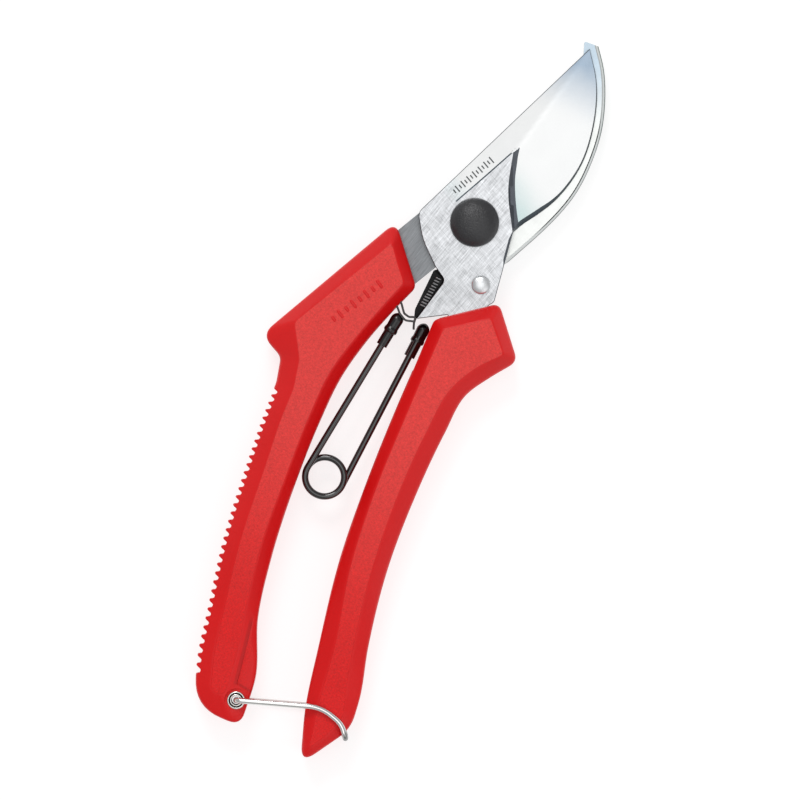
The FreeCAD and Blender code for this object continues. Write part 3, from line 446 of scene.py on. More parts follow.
def hollow_crease_shade(f):
    """Painted shade: 1 along the two lines where the left butt's hollow meets the margin and the eyelet's
    ledge.
    """
    margin = (f.x + 9.1) * 0.982 + (f.y + 114.5) * 0.189
    ledge = (f.y + 132.5) * 0.99 + (f.x + 4.4) * 0.12
    beside = f.y.step(-133.4, -132.6) * (1.0 - f.y.step(-117.5, -114.5)) * (1.0 - f.x.step(-0.5, 0.5))
    below = f.x.step(-5.2, -4.6) * (1.0 - f.x.step(-0.9, 0.0))
    return (1.0 - abs(margin).step(0.25, 0.6)) * beside + (1.0 - abs(ledge).step(0.15, 0.5)) * below


def moulded_red():
    """Hard red plastic: spark-eroded grain on the flat faces, smoother and deeper red margins with
    painted shade on those that face the other grip, painted shade along the left butt's hollow creases,
    and a mould seam half way up the side walls."""
    f = Finish("moulded_red", specular_ior_level=0.32)
    grain = f.attribute("grain")
    inner_shade = f.attribute("inner_shade")
    pits = f.cells(0.55)
    speck = f.noise(0.50, 4.0, 0.8)
    drift = f.noise(14.0, 2.0)
    upper = f.y.step(-128.0, -52.0)
    flat = upper.blend(rgb(223, 14, 14), rgb(227, 60, 56))
    # painted shade: margins that face the other grip are a darker red
    margin = inner_shade.blend(upper.blend(rgb(219, 12, 14), rgb(217, 22, 23)), rgb(219, 8, 11))
    base = grain.blend(margin, flat)
    # painted shade along the hollow's creases darkens the red
    tone = 0.95 + drift * 0.10 + (grain + 0.2) * (speck - 0.5) - hollow_crease_shade(f) * 0.22
    f.set("Base Color", tone.tint(base))
    f.set("Roughness", 0.38 + grain * 0.14 + (speck - 0.5) * 0.2 + (drift - 0.5) * 0.08)
    seam = 1.0 - abs(f.z).step(0.04, 0.12)
    relief = grain * (pits * 0.5 + speck * 0.9) + (1.0 - grain) * speck * 0.16 - seam * 0.7
    f.bump(relief, 0.10)
    return f.material


def tang_steel():
    """The counter blade: dull brushed tang, paler hook with a cool painted reflection at its tip, and a
    bevel painted pale as a reflection, with painted shade as a dark line along its inner edge and a grey
    one along its outer edge."""
    f = Finish("counter_blade_steel", metallic=1.0)
    polish = f.x.step(-6.0, 4.0)
    fine = f.noise(0.36, 4.0, 0.7, (1.0, 14.0, 1.0), -14.0)
    cloud = f.noise(5.0, 3.0)
    # painted reflection: a cool tint towards the hook's tip
    tip = f.y.step(34.0, 52.0)
    face = polish.blend(rgb(136, 139, 142), tip.blend(rgb(226, 228, 226), rgb(186, 202, 214)))
    tone = 0.92 + (fine - 0.5) * (1.2 - polish * 0.95) + (cloud - 0.5) * 0.3
    # painted reflection and shade: the bevel's colours are picked by how steeply the surface slopes
    up = f.x.node("ShaderNodeNewGeometry", None, None, 3)
    upright = f.x.node("ShaderNodeSeparateXYZ", None, {0: up}, 2)
    slanted = (1.0 - upright.step(0.85, 0.97)) * polish
    inner = f.z.step(-0.34, -0.24) * f.y.step(2.0, 9.0) * (1.0 - f.y.step(33.0, 40.0) * 0.7)
    outer = 1.0 - f.z.step(-0.78, -0.66)
    rim = f.y.step(28.0, 37.0).blend(rgb(176, 180, 180), rgb(126, 138, 134))
    bevel = inner.blend(outer.blend(rgb(232, 236, 235), rim), rgb(52, 58, 56))
    f.set("Base Color", slanted.blend(tone.tint(face), bevel))
    f.set("Roughness", 0.36 - polish * 0.08 + fine * 0.16 + slanted * 0.25)
    f.bump(fine, 0.012)
    return f.material


TICK_STEP = 0.95
TICK_WIDTH = 0.34


def etched_ticks(f):
    """1 on a row of ticks along the spine, every second one longer."""
    along = (f.x + 8.3) * 0.417 + (f.y - 4.0) * 0.909
    across = abs((f.y - 4.0) * 0.417 - (f.x + 8.3) * 0.909 - 0.15)
    tick = (along % TICK_STEP).below(TICK_WIDTH)
    long_one = (along % (2 * TICK_STEP)).below(TICK_STEP)
    reach = across.below(0.55 + long_one * 0.42)
    return tick * reach * abs(along - 7.1).below(6.6)


def blade_steel():
    """Cutting blade: body brushed both ways, polished ground faces with a faint cool painted reflection
    and painted shade on the spine's band, and a row of etched ticks along the spine."""
    f = Finish("cutting_blade_steel", metallic=1.0)
    ground = f.attribute("ground")
    fine = f.noise(0.30, 5.0, 0.8, (1.0, 18.0, 1.0), -15.0)
    cross = f.noise(0.36, 5.0, 0.8, (1.0, 14.0, 1.0), -112.0)
    cloud = f.noise(4.0, 4.0, 0.65)
    wash = f.noise(9.0, 2.0)
    grind = f.noise(0.22, 3.0, 0.6, (1.0, 40.0, 1.0), -62.0)
    lines = fine * 0.6 + cross * 0.4
    brushed = rgb(222, 224, 227)
    polished = rgb(250, 251, 251)
    # painted reflection: a cool tint towards the tip and a teal one near the edge
    upper = f.y.step(33.0, 51.0) * (0.6 + wash * 0.8)
    spine = f.attribute("spine")
    lower = 1.0 - ((f.y - 3.0) * 0.9 + (f.x - 9.0) * 0.5 - (wash - 0.5) * 6.0).step(1.0, 14.0)
    lower = lower * (1.0 - spine)
    face = lower.blend(upper.blend(polished, rgb(172, 190, 208)), rgb(206, 226, 225))
    shade = 0.78 - (-f.y).step(4.0, 22.0) * 0.10
    tone = (1.0 - ground) * shade * (1.0 + (lines - 0.5) * 3.4 + (cloud - 0.5) * 0.5)
    # painted shade: the spine's band is darker than the main ground face
    tone = tone + ground * (0.63 - spine * 0.08 + (grind - 0.5) * 0.06 + (wash - 0.5) * 0.08)
    etched = etched_ticks(f)
    colour = (etched * 0.85).blend(tone.tint(ground.blend(brushed, face)), rgb(66, 70, 72))
    f.set("Base Color", colour)
    rough = (1.0 - ground) * (0.26 + lines * 0.26) + ground * (0.16 + grind * 0.06 + wash * 0.05)
    f.set("Roughness", rough + etched * 0.3)
    f.bump((1.0 - ground) * lines + ground * grind * 0.3 - etched * 0.8, 0.018)
    return f.material


def painted_shade_steel():
    """Dark steel as painted shade: on the hollow where the grinding wheel left the plate, the strip along
    its outline and its sides.
    """
    f = Finish("painted_shade_steel", metallic=1.0)
    lines = f.noise(0.14, 3.0, 0.6, (14.0, 1.0, 1.0), 12.0)
    cloud = f.noise(2.5, 2.0)
    f.set("Base Color", (0.8 + lines * 0.3 + (cloud - 0.5) * 0.2).tint(rgb(92, 96, 102)))
    f.set("Roughness", 0.34 + lines * 0.2)
    f.bump(lines, 0.01)
    return f.material


def edge_steel():
    """Freshly honed bevel, painted dark as the shade of a facet that turns away."""
    f = Finish("honed_edge_steel", metallic=1.0)
    lines = f.noise(0.08, 2.0, 0.6, (1.0, 12.0, 1.0), -58.0)
    f.set("Base Color", (0.85 + lines * 0.3).tint(rgb(74, 82, 88)))
    f.set("Roughness", 0.22 + lines * 0.16)
    f.bump(lines, 0.006)
    return f.material


def bright_wire():
    """Drawn steel wire, with painted shade on the bent tip that turns down."""
    f = Finish("bright_wire", metallic=1.0)
    drawn = f.noise(0.18, 3.0, 0.6, (9.0, 1.0, 1.0), 8.0)
    # painted shade on the down-turned tip
    end = f.x.step(24.7, 25.7)
    f.set("Base Color", (0.88 + drawn * 0.22 - end * 0.62).tint(rgb(222, 222, 220)))
    f.set("Roughness", 0.10 + drawn * 0.14)
    f.bump(drawn, 0.006)
    return f.material


def plated(name, colour, low, high):
    """Nickel- or zinc-plated steel with faint turning marks and handling haze."""
    f = Finish(name, metallic=1.0)
    haze = f.noise(1.1, 4.0, 0.6)
    mark = f.noise(0.15, 2.0, 0.5, (6.0, 1.0, 1.0), 30.0)
    f.set("Base Color", (0.88 + haze * 0.14 + mark * 0.08).tint(colour))
    f.set("Roughness", low + haze * (high - low))
    f.bump(haze * 0.6 + mark * 0.4, 0.006)
    return f.material


def rolled_nickel(centre):
    """Nickel plate with painted shade in the rolled groove and in the bore."""
    f = Finish("nickel_eyelet", metallic=1.0)
    haze = f.noise(0.8, 4.0, 0.6)
    across, along = f.x - float(centre[0]), f.y - float(centre[1])
    reach = (across * across + along * along).sqrt()
    # painted shade in the groove and the bore
    groove = 1.0 - abs(reach - 1.74).step(0.10, 0.24)
    bore = 1.0 - reach.step(1.16, 1.26)
    dark = (groove + bore).step(0.0, 1.0)
    f.set("Base Color", dark.blend((0.9 + haze * 0.2).tint(rgb(214, 212, 208)), rgb(64, 58, 56)))
    f.set("Roughness", 0.14 + haze * 0.16 + dark * 0.3)
    f.bump(haze, 0.006)
    return f.material


def black_plastic(name, colour, low, high, size, depth, specular=0.2):
    """Black mouldings, rubber and enamelled wire: fine pebble, sheen that varies, paler scuffs."""
    f = Finish(name, specular_ior_level=specular)
    pebble = f.noise(size, 3.0, 0.6)
    haze = f.noise(3.0, 3.0, 0.6)
    scuff = f.noise(0.5, 4.0, 0.75, (1.0, 7.0, 1.0), 35.0).step(0.62, 0.80)
    f.set("Base Color", (0.8 + haze * 0.4 + scuff * 0.8).tint(colour))
    f.set("Roughness", low + haze * (high - low) + scuff * 0.12)
    f.bump(pebble, depth)
    return f.material


# ---------------------------------------------------------------- grips

LEFT_WALL = [
    (-18.3, -8.3, 3.0, ()),
    (-6.5, -21.3, 1.3, ((-9.5, -30.0), (-12.2, -39.5), (-14.1, -50.0), (-14.3, -63.0), (-13.3, -80.0),
                        (-10.8, -100.0), (-7.5, -115.0), (-1.5, -129.5))),
    (0.2, -142.1, 3.1, ()),
    (-12.7, -142.6, 6.4, ((-16.9, -132.0), (-20.3, -118.0), (-24.1, -100.8), (-26.9, -80.0),
                          (-28.3, -66.0))),
    (-28.7, -58.5, 0.8, ()),
    (-30.4, -52.1, 1.2, ()),
    (-37.3, -49.0, 3.2, ()),
]
LEFT_FACE = [
    (-17.0, -13.6, 1.2, ()),
    (-9.7, -21.8, 0.8, ((-12.4, -30.5), (-14.9, -39.5), (-17.1, -50.0), (-17.2, -62.0), (-16.1, -79.0),
                        (-14.2, -99.0), (-11.6, -112.0), (-8.2, -126.0))),
    (-6.6, -136.5, 1.6, ()),
    (-10.6, -137.5, 2.0, ((-13.6, -129.0), (-16.6, -116.0), (-19.9, -100.0), (-22.3, -79.5),
                          (-23.8, -66.0))),
    (-24.2, -58.0, 0.8, ()),
    (-26.0, -50.6, 1.0, ()),
    (-31.1, -42.6, 1.0, ()),
]
LEFT_SPINE = [(-15.6, -20.0), (-21.0, -38.0), (-20.8, -52.0), (-20.4, -66.0), (-19.1, -80.0),
              (-17.0, -100.0), (-13.0, -118.0), (-9.2, -134.5)]
LEFT_STEPS = [14, 120, 14, 476, 8, 8, 40]
TOOTHED_SIDE = 3
FIRST_TIP = -60.0             # height of the uppermost serration's tip
TOOTH_COUNT = 34
RIGHT_WALL = [
    (14.5, -16.1, 1.8, ()),
    (25.0, -27.6, 2.0, ((20.4, -34.3), (16.7, -41.0), (15.9, -52.0), (15.9, -70.0), (17.4, -90.0),
                        (21.3, -110.0), (24.9, -123.0))),
    (26.1, -130.8, 3.2, ()),
    (18.1, -144.5, 4.2, ((13.6, -132.0), (9.6, -115.0), (5.1, -92.5), (3.0, -72.0), (1.9, -52.0),
                         (1.55, -40.0))),
    (1.0, -26.9, 1.0, ()),
]
RIGHT_FACE = [
    (14.2, -20.4, 0.8, ()),
    (21.1, -27.6, 0.8, ((16.3, -33.6), (12.6, -41.5), (11.7, -53.0), (11.8, -70.0), (13.7, -90.0),
                        (17.6, -110.0), (20.4, -120.5))),
    (23.2, -129.0, 1.6, ((21.2, -134.8),)),
    (18.3, -140.2, 1.4, ((15.7, -128.5), (13.3, -114.0), (8.2, -93.0), (5.7, -72.0), (4.8, -52.0),
                         (4.4, -40.0))),
    (4.1, -28.2, 0.8, ()),
]
RIGHT_SPINE = [(12.0, -25.5), (8.6, -40.0), (8.2, -52.0), (8.7, -70.0), (10.9, -92.0), (15.4, -113.0),
               (18.6, -126.0), (18.6, -137.0)]
RIGHT_STEPS = [16, 120, 14, 120, 16]
GRIP_HALF = 6.8
BUTT_HALF = 5.0
WALL_HALF = 3.6
HOLLOW = [(-8.8, -114.5), (-5.3, -132.7), (-0.6, -133.0), (-2.4, -127.0), (-6.5, -121.0)]
HOLLOW_FLOOR = np.array([4.40, 3.86, 3.72, 3.80, 4.10])
EYE_SEAT = 4.2                # height of the flats that the eyelet is closed on
EYE_SEAT_RADIUS = 3.0
EYE_BORE_RADIUS = 1.5
SHOE_GROOVE = [(-1.0, -41.0), (2.2, -41.0), (2.2, -25.0), (-1.0, -25.0)]
SHOE_GROOVE_HALF = 3.5
PAST_FACE = 8.0               # a cutter's height beyond either face
BARS_START = np.array([-22.2, -37.6])
BARS_END = np.array([-15.3, -24.6])
BAR_COUNT = 8
BAR_ROWS = 8
BAR_SIDES = 40


def face_height(y):
    """Half thickness of a grip: level, then sloping to a thinner end."""
    return np.interp(y, [-124.0, -96.0], [BUTT_HALF, GRIP_HALF])


def tooth_depth(y, pitch, growth, depth):
    """Depth of the serrations: blunt tips, a leaning flank, a round hollow and a square flank.
    The tip number n lies pitch n + growth n (n - 1) / 2 below the first one."""
    start = pitch - growth / 2
    number = (np.sqrt(start**2 + 2 * growth * np.maximum(FIRST_TIP - y, 0)) - start) / growth
    share = number % 1.0
    shape = np.interp(share, [0.0, 0.07, 0.19, 0.28, 0.36, 0.44, 0.52, 0.63, 0.71, 0.80, 0.88, 1.0],
                      [0.0, 0.03, 0.36, 0.80, 0.98, 1.0, 0.96, 0.88, 0.76, 0.36, 0.06, 0.0])
    return np.where((number > 0) & (number < TOOTH_COUNT), shape * depth, 0.0)


def grip_form(name, wall_corners, face_corners, spine, steps, body, material, inner_side, teeth=None):
    """A moulded grip. At each point of the outline a section runs from the middle of the side wall
    up to the margin, over a soft edge, along the margin and over a second soft edge on to the flat
    face, whose inside is closed by triangles on to a line down its middle. The back mirrors it."""
    wall, side = outline(wall_corners, steps)
    face, _ = outline(face_corners, steps)
    margin = face - wall
    width = np.linalg.norm(margin, axis=1)
    height = face_height(face[:, 1])
    bite = np.zeros(len(wall))
    if teeth:
        bite = np.where(side == TOOTHED_SIDE, tooth_depth(wall[:, 1], *teeth), 0.0)
    share = (bite / width)[:, None]
    foot = wall + margin * share
    shoulder = WALL_HALF + (height - WALL_HALF) * share[:, 0]
    middle_line = smooth_path(spine, 90)
    nearest = np.linalg.norm(face[:, None] - middle_line[None], axis=2).argmin(axis=1)
    centre = middle_line[nearest]

    low = np.column_stack([foot, np.zeros(len(foot))])
    edge = np.column_stack([foot, shoulder])
    crest = np.column_stack([face, height])
    inner = np.column_stack([centre, face_height(centre[:, 1])])
    rise = crest - edge
    rise /= np.linalg.norm(rise, axis=1)[:, None]
    level = inner - crest
    level /= np.linalg.norm(level, axis=1)[:, None]
    soft = np.where(bite > 0.02, 0.35, 0.9)[:, None]
    down = np.array([0.0, 0.0, -1.0])
    first = soft_corner(edge + down * soft, edge, edge + rise * soft, 6)
    second = soft_corner(crest - rise * 0.5, crest, crest + level * 0.5, 6)
    rings = np.concatenate([low[None], first, second])
    mirrored = rings[:0:-1] * np.array([1.0, 1.0, -1.0])
    stack = np.concatenate([mirrored, rings])
    count = len(wall)
    rows = len(stack)
    line = np.column_stack([middle_line, face_height(middle_line[:, 1])])
    vertices = np.concatenate([stack.reshape(-1, 3), line, line * np.array([1.0, 1.0, -1.0])])
    faces = grid_faces(rows, count)
    for first_vertex, first_node in (((rows - 1) * count, rows * count), (0, rows * count + len(line))):
        faces += fan(first_vertex, first_node, nearest)
    grain = np.zeros(len(vertices))
    grain[:2 * count] = 1.0
    grain[(rows - 2) * count:] = 1.0
    # painted shade on the margins that face the other grip, passed to the material as an attribute
    facing = -margin[:, 0] / width * inner_side
    inner_shade = np.concatenate([np.tile(np.clip(facing * 1.6, 0, 1), rows), np.zeros(2 * len(line))])
    return make_piece(name, vertices, faces, [material], body, 34.0, (),
                      {"grain": grain, "inner_shade": inner_shade * (1 - grain)})


def fan(start, nodes, nearest):
    """Triangles from a closed ring of vertices on to a line of nodes, each to its nearest."""
    faces = []
    count = len(nearest)
    for i in range(count):
        j = (i + 1) % count
        a, b = nearest[i], nearest[j]
        faces.append([start + i, start + j, nodes + b])
        way = 1 if b > a else -1
        faces += [[start + i, nodes + k + way, nodes + k] for k in range(a, b, way)]
    return faces


def raised_bars(name, material, body):
    """A row of low rounded bars on the front face, each a squared-off dome:
    radius (cos^n + sin^n)^(-1/n), height 1 - u^6."""
    along = unit(BARS_END - BARS_START)
    across = np.array([-along[1], along[0]])
    angle = np.linspace(0, 2 * np.pi, BAR_SIDES, endpoint=False)
    u = np.linspace(1, 0.02, BAR_ROWS)[:, None]
    reach = (np.abs(np.cos(angle))**4 + np.abs(np.sin(angle))**4)**-0.25
    vertices, faces = [], []
    for number in range(BAR_COUNT):
        centre = BARS_START + (BARS_END - BARS_START) * number / (BAR_COUNT - 1)
        half_wide, half_long = (0.42, 1.35) if number % 2 else (0.42, 0.85)
        flat = (u * reach * np.cos(angle) * half_wide)[..., None] * along
        flat = flat + (u * reach * np.sin(angle) * half_long)[..., None] * across + centre
        z = GRIP_HALF - 0.06 + 0.24 * (1 - u**6) + 0 * angle
        first = len(vertices) * BAR_ROWS * BAR_SIDES
        top = first + (BAR_ROWS - 1) * BAR_SIDES
        vertices.append(np.concatenate([flat, z[..., None]], axis=-1).reshape(-1, 3))
        faces += [[first + n for n in quad] for quad in grid_faces(BAR_ROWS, BAR_SIDES)]
        faces.append(list(range(top, top + BAR_SIDES)))
        faces.append(list(range(first, first + BAR_SIDES)))
    vertices = np.concatenate(vertices)
    return make_piece(name, vertices, faces, [material], body, 40.0, (),
                      {"grain": np.zeros(len(vertices)), "inner_shade": np.zeros(len(vertices))})


# ---------------------------------------------------------------- cutting blade

BLADE_TOP = 2.83
BLADE_FOOT = 0.03
BLADE_OUTLINE = [
    (7.95, 52.8, 0, ((13.05, 46.0), (17.45, 34.5), (18.6, 25.3), (17.75, 18.5), (16.1, 13.2),
                     (13.65, 8.5), (11.2, 4.45))),
    (10.0, 1.75, 0, ()),
    (13.2, -16.6, 0.8, ()),
    (12.2, -17.6, 0.4, ()),
    (11.4, -36.0, 1.0, ()),
    (5.0, -36.0, 1.0, ()),
    (3.9, -24.2, 0.4, ()),
    (-3.05, -28.6, 0.25, ()),
    (-0.6, -16.6, 1.0, ()),
    (-4.3, -14.5, 0.4, ((-10.6, -8.9),)),
    (-14.2, -3.8, 1.3, ()),
]
BAND_LINE = ((-6.4, 2.8), (-2.0, 12.6), (1.4, 20.4))
BAND_ALONG = np.array([0.403, 0.915])
BAND_ACROSS = np.array([-0.915, 0.403])
BAND_STEP = 0.36              # width of the step along the band, painted dark as shade
APEX = (2.4, 22.3)
BORE_RADIUS = 3.05
EDGE_FOOT = 0.25              # the honed edge stands this much over the blade's underside
SHOULDER_OUT = ((1.4, 20.4), (1.75, 19.2), (2.3, 17.2), (4.2, 11.4), (5.5, 8.8), (7.4, 5.7),
                (9.0, 3.2), (9.8, 1.9))
SHOULDER_IN = ((2.4, 22.3), (2.85, 20.3), (3.58, 17.95), (4.57, 14.8), (5.8, 12.1), (7.5, 8.95),
               (9.03, 6.44), (10.1, 4.85))


def along_band(points):
    """How far along the spine's band each point lies, from the band's lower end."""
    return (points - BAND_LINE[0]) @ BAND_ALONG


def ground_planes(points):
    """Heights of the two ground faces over the plate's: the main one deepens towards the edge,
    and the spine's band is another plane, fading out at its lower end."""
    x, y = points.T
    main = 0.0136 - 0.0923 * x + 0.0031 * y
    fade = np.clip(along_band(points) / 7.0, 0, 1)
    band = fade * (-0.12 - 0.07 * ((points - APEX) @ BAND_ACROSS))
    return main, band


def plate(outer, inset, rim, height, foot, lines, holes, step):
    """Points and triangles of a flat piece: a triangulated top whose heights follow a formula,
    a strip inset along its outline down to the rim, upright sides and a level underside."""
    normal = inward(outer)
    inner = outer + normal * inset[:, None]
    loops = [outer, inner] + [disc(c, r) for c, r in holes]
    points, edges = [], []
    first = 0
    for loop in loops:
        points.append(loop)
        edges += [(first + i, first + (i + 1) % len(loop)) for i in range(len(loop))]
        first += len(loop)
    for line in lines:
        points.append(line)
        edges += [(first + i, first + i + 1) for i in range(len(line) - 1)]
        first += len(line)
    low, high = outer.min(axis=0), outer.max(axis=0)
    gx, gy = np.meshgrid(np.arange(low[0], high[0], step), np.arange(low[1], high[1], step))
    gx = gx + (np.arange(len(gx)) % 2 * step / 2)[:, None]
    spots = np.column_stack([gx.ravel(), gy.ravel()])
    spots = spots[inside(spots, inner)]
    for loop in loops:
        spots = spots[distance(spots, loop, True) > step * 0.45]
    for line in lines:
        spots = spots[distance(spots, line) > step * 0.45]
    points.append(spots)
    points = np.concatenate(points)
    found = delaunay_2d_cdt([Vector(p) for p in points], edges, [], 0, 1e-6)
    flat = np.array([tuple(v) for v in found[0]])
    triangles = np.array(found[2])
    origin = np.array([min(source) if source else -1 for source in found[3]])
    heart = flat[triangles].mean(axis=1)
    keep = inside(heart, outer)
    for centre, radius in holes:
        keep &= np.linalg.norm(heart - centre, axis=1) > radius * 0.999
    triangles = triangles[keep]
    z = height(flat)
    on_rim = (origin >= 0) & (origin < len(outer))
    z[on_rim] = rim[origin[on_rim]]
    top = np.column_stack([flat, z])
    bottom = np.column_stack([flat, np.full(len(flat), foot)])
    ring = np.concatenate([triangles[:, [0, 1]], triangles[:, [1, 2]], triangles[:, [2, 0]]])
    known = set(map(tuple, ring.tolist()))
    border = np.array([(a, b) for a, b in ring.tolist() if (b, a) not in known])
    count = len(flat)
    walls = np.column_stack([border[:, 1], border[:, 0], border[:, 0] + count, border[:, 1] + count])
    vertices = np.concatenate([top, bottom])
    return vertices, triangles, triangles[:, ::-1] + count, walls, on_rim


def cutting_blade_form(materials):
    """Plate with its brushed body, shoulder, ground faces and honed bevel, the shoulder and its edges
    painted dark as shade.
    """
    steps = [150, 10, 2, 8, 6, 8, 10, 16, 4, 16, 120]
    outer, side = outline(BLADE_OUTLINE, steps)
    band = smooth_path(BAND_LINE, 24)
    shoulder_out = smooth_path(SHOULDER_OUT, 26)
    shoulder_in = smooth_path(SHOULDER_IN, 26)
    tip_line = np.array([band[-1], shoulder_in[0]])
    body_loop = np.concatenate([band, shoulder_out[1:], [[16.0, 1.0], [16.0, -40.0], [-20.0, -40.0],
                                                        [-20.0, -1.5]]])
    strip = np.concatenate([shoulder_out, shoulder_in[::-1]])
    step_line = band + BAND_ACROSS * BAND_STEP
    step_line[-1] = shoulder_in[0]

    def height(points):
        within = inside(points, body_loop) | (distance(points, body_loop, True) < 1e-4)
        return BLADE_TOP + np.where(within, 0.0, np.minimum(*ground_planes(points)))

    cutting = side == 0
    y = outer[:, 1]
    honed = np.interp(y, [1.9, 4.5, 8.0, 10.5, 13.0, 16.0, 25.0, 40.0, 52.6],
                      [0.30, 1.15, 1.15, 1.05, 0.80, 0.57, 0.42, 0.34, 0.20])
    # a wider strip along the waist, painted dark as the shadow the blade casts on the counter blade
    waist = np.interp(y, [-6.6, -6.0, 0.8, 1.75], [0.16, 0.60, 0.60, 0.25])
    inset = np.where(cutting, honed, np.where(side == 1, waist, 0.16))
    rim = height(outer + inward(outer) * inset[:, None]) - 0.14
    rim = np.where(cutting, BLADE_FOOT + EDGE_FOOT, rim)
    lines = [band, step_line[:-1], shoulder_out, shoulder_in, tip_line]
    vertices, top, bottom, walls, on_rim = plate(outer, inset, rim, height, BLADE_FOOT, lines,
                                                 [((0.0, 0.0), BORE_RADIUS)], 0.9)
    heart = vertices[top].mean(axis=1)[:, :2]
    kind = np.where(inside(heart, strip), 1, 0)
    # painted shade: the step along the band takes the dark honed steel
    groove = np.concatenate([band, step_line[::-1]])
    kind = np.where(inside(heart, groove), 2, kind)
    touches = on_rim[top].any(axis=1)
    # painted shade: the strip along the outline takes the dark steel
    kind = np.where(touches, 1, kind)
    # painted shade: the honed bevel along the cutting edge takes the darkest steel
    kind = np.where(touches & (heart[:, 0] > 7.9) & (heart[:, 1] > 1.8), 2, kind)
    faces = top.tolist() + bottom.tolist() + walls.tolist()
    marks = np.concatenate([kind, np.zeros(len(bottom), int), np.full(len(walls), 1)])
    depth = BLADE_TOP - vertices[:, 2]
    flat = vertices[:, :2]
    within = inside(flat, body_loop) | (distance(flat, body_loop, True) < 1e-4)
    amount = np.where(within | (depth > 2.7), 0.0, np.clip((along_band(flat) + 1.0) / 6.0, 0, 1))
    mesh = bpy.data.meshes.new("cutting_blade_plate")
    mesh.from_pydata(((vertices + PIVOT) * MM).tolist(), [], faces)
    # the spine amount marks the band for its painted shade
    main, spine_band = ground_planes(flat)
    spine = np.clip((main - spine_band) / 0.12, 0, 1) * amount
    set_values(mesh, {"ground": amount, "spine": spine})
    piece = finish_piece("cutting_blade_plate", mesh, materials, "right_half", 8.0,
                         ["cutting_blade"])
    mesh.polygons.foreach_set("material_index", marks.astype(np.int32))
    turn_outward(mesh)
    return piece


# ---------------------------------------------------------------- spring and eyelet

COIL = np.array([-7.25, -75.2])
COIL_RADIUS = 5.0
LEFT_HINGE = np.array([-7.5, -31.1])
RIGHT_HINGE = np.array([-0.35, -30.7])


def hairpin_path(wire, air, into_shoe):
    """The spring's centre line: a straight arm, a helix of one and a half turns, a straight arm."""
    ends = []
    for hinge, way in ((LEFT_HINGE, -1), (RIGHT_HINGE, 1)):
        reach = COIL - hinge
        length = np.linalg.norm(reach)
        heading = math.atan2(reach[1], reach[0]) + way * math.asin(COIL_RADIUS / length)
        toward = np.array([math.cos(heading), math.sin(heading)])
        meeting = hinge + toward * math.sqrt(length**2 - COIL_RADIUS**2)
        ends.append((hinge + toward * into_shoe, meeting))
    angles = [math.degrees(math.atan2(*(m - COIL)[::-1])) % 360 for _, m in ends]
    first, last = angles[0], angles[1] + 720.0
    while last - first > 640:
        last -= 360.0
    pitch = 2 * wire + air
    front = pitch * (last - first) / 720
    turn = np.radians(np.linspace(first, last, 150))
    drop = front - pitch * (turn - turn[0]) / (2 * np.pi)
    helix = np.column_stack([COIL[0] + COIL_RADIUS * np.cos(turn), COIL[1] + COIL_RADIUS * np.sin(turn),
                             drop])
    left = np.linspace([*ends[0][0], front], [*ends[0][1], front], 40)[:-1]
    right = np.linspace([*ends[1][1], -front], [*ends[1][0], -front], 40)[1:]
    return np.concatenate([left, helix, right])


# ---------------------------------------------------------------- turned details

def curve(centre, across, high, power, start, end, count=14):
    """Points of a superellipse |r / across|^power + |z / high|^power = 1 between two angles in
    degrees, 0 at its rim and 90 at its crown, from a centre (r, z)."""
    angle = np.radians(np.linspace(start, end, count))
    r, z = np.cos(angle), np.sin(angle)
    reach = (np.abs(r)**power + np.abs(z)**power)**(-1 / power)
    return [(centre[0] + across * a * k, centre[1] + high * b * k) for a, b, k in zip(r, z, reach)]


def cap_dome(material):
    """A solid domed cap on a short upright rim."""
    rim, crown, radius = spans("pivot_cap")
    start = rim + 0.5
    profile = [(0, rim), (radius - 0.12, rim), (radius, rim + 0.12)]
    profile += curve((0, start), radius, crown - start, 2.35, 0, 90, 28)
    vertices, faces = lathe(profile, (0, 0, 0), 96)
    return make_piece("pivot_cap_dome", vertices, faces, [material], "left_half",
                      50.0, ["pivot_cap"])


def rivet_dome(material):
    """The buffer's rivet: shank and a low dome with a small rolled edge."""
    bottom, crown, radius = spans("stop_rivet")
    rim = BLADE_TOP + 0.02
    profile = [(0, bottom), (1.3, bottom), (1.3, rim), (radius - 0.15, rim), (radius, rim + 0.15)]
    profile += curve((0, rim + 0.3), radius, crown - rim - 0.3, 2.0, 0, 90, 20)
    vertices, faces = lathe(profile, axis_of("stop_rivet"))
    return make_piece("stop_rivet_dome", vertices, faces, [material], "right_half",
                      40.0, ["stop_rivet"])


def eyelet_flange(material):
    """The catch eyelet: a tube rolled over into a lip, a groove and a rounded flange."""
    bottom, top, radius = spans("catch_eyelet")
    seat = top - 0.4
    profile = [(1.15, bottom), (1.15, top - 0.5)]
    profile += curve((1.37, top - 0.22), -0.22, 0.22, 2, 0, 90, 6)
    profile += curve((1.37, top - 0.22), 0.24, 0.22, 2, 90, 10, 6)
    profile += [(1.72, top - 0.26)]
    profile += curve((2.02, top - 0.26), -0.22, 0.24, 2, 20, 90, 6)
    profile += curve((2.02, top - 0.26), radius - 2.02, 0.24, 2, 90, 0, 6)
    profile += [(radius - 0.06, seat), (1.5, seat), (1.5, bottom)]
    vertices, faces = lathe(profile, axis_of("catch_eyelet"))
    return make_piece("catch_eyelet_roll", vertices, faces, [material], "left_half",
                      50.0, ["catch_eyelet"])


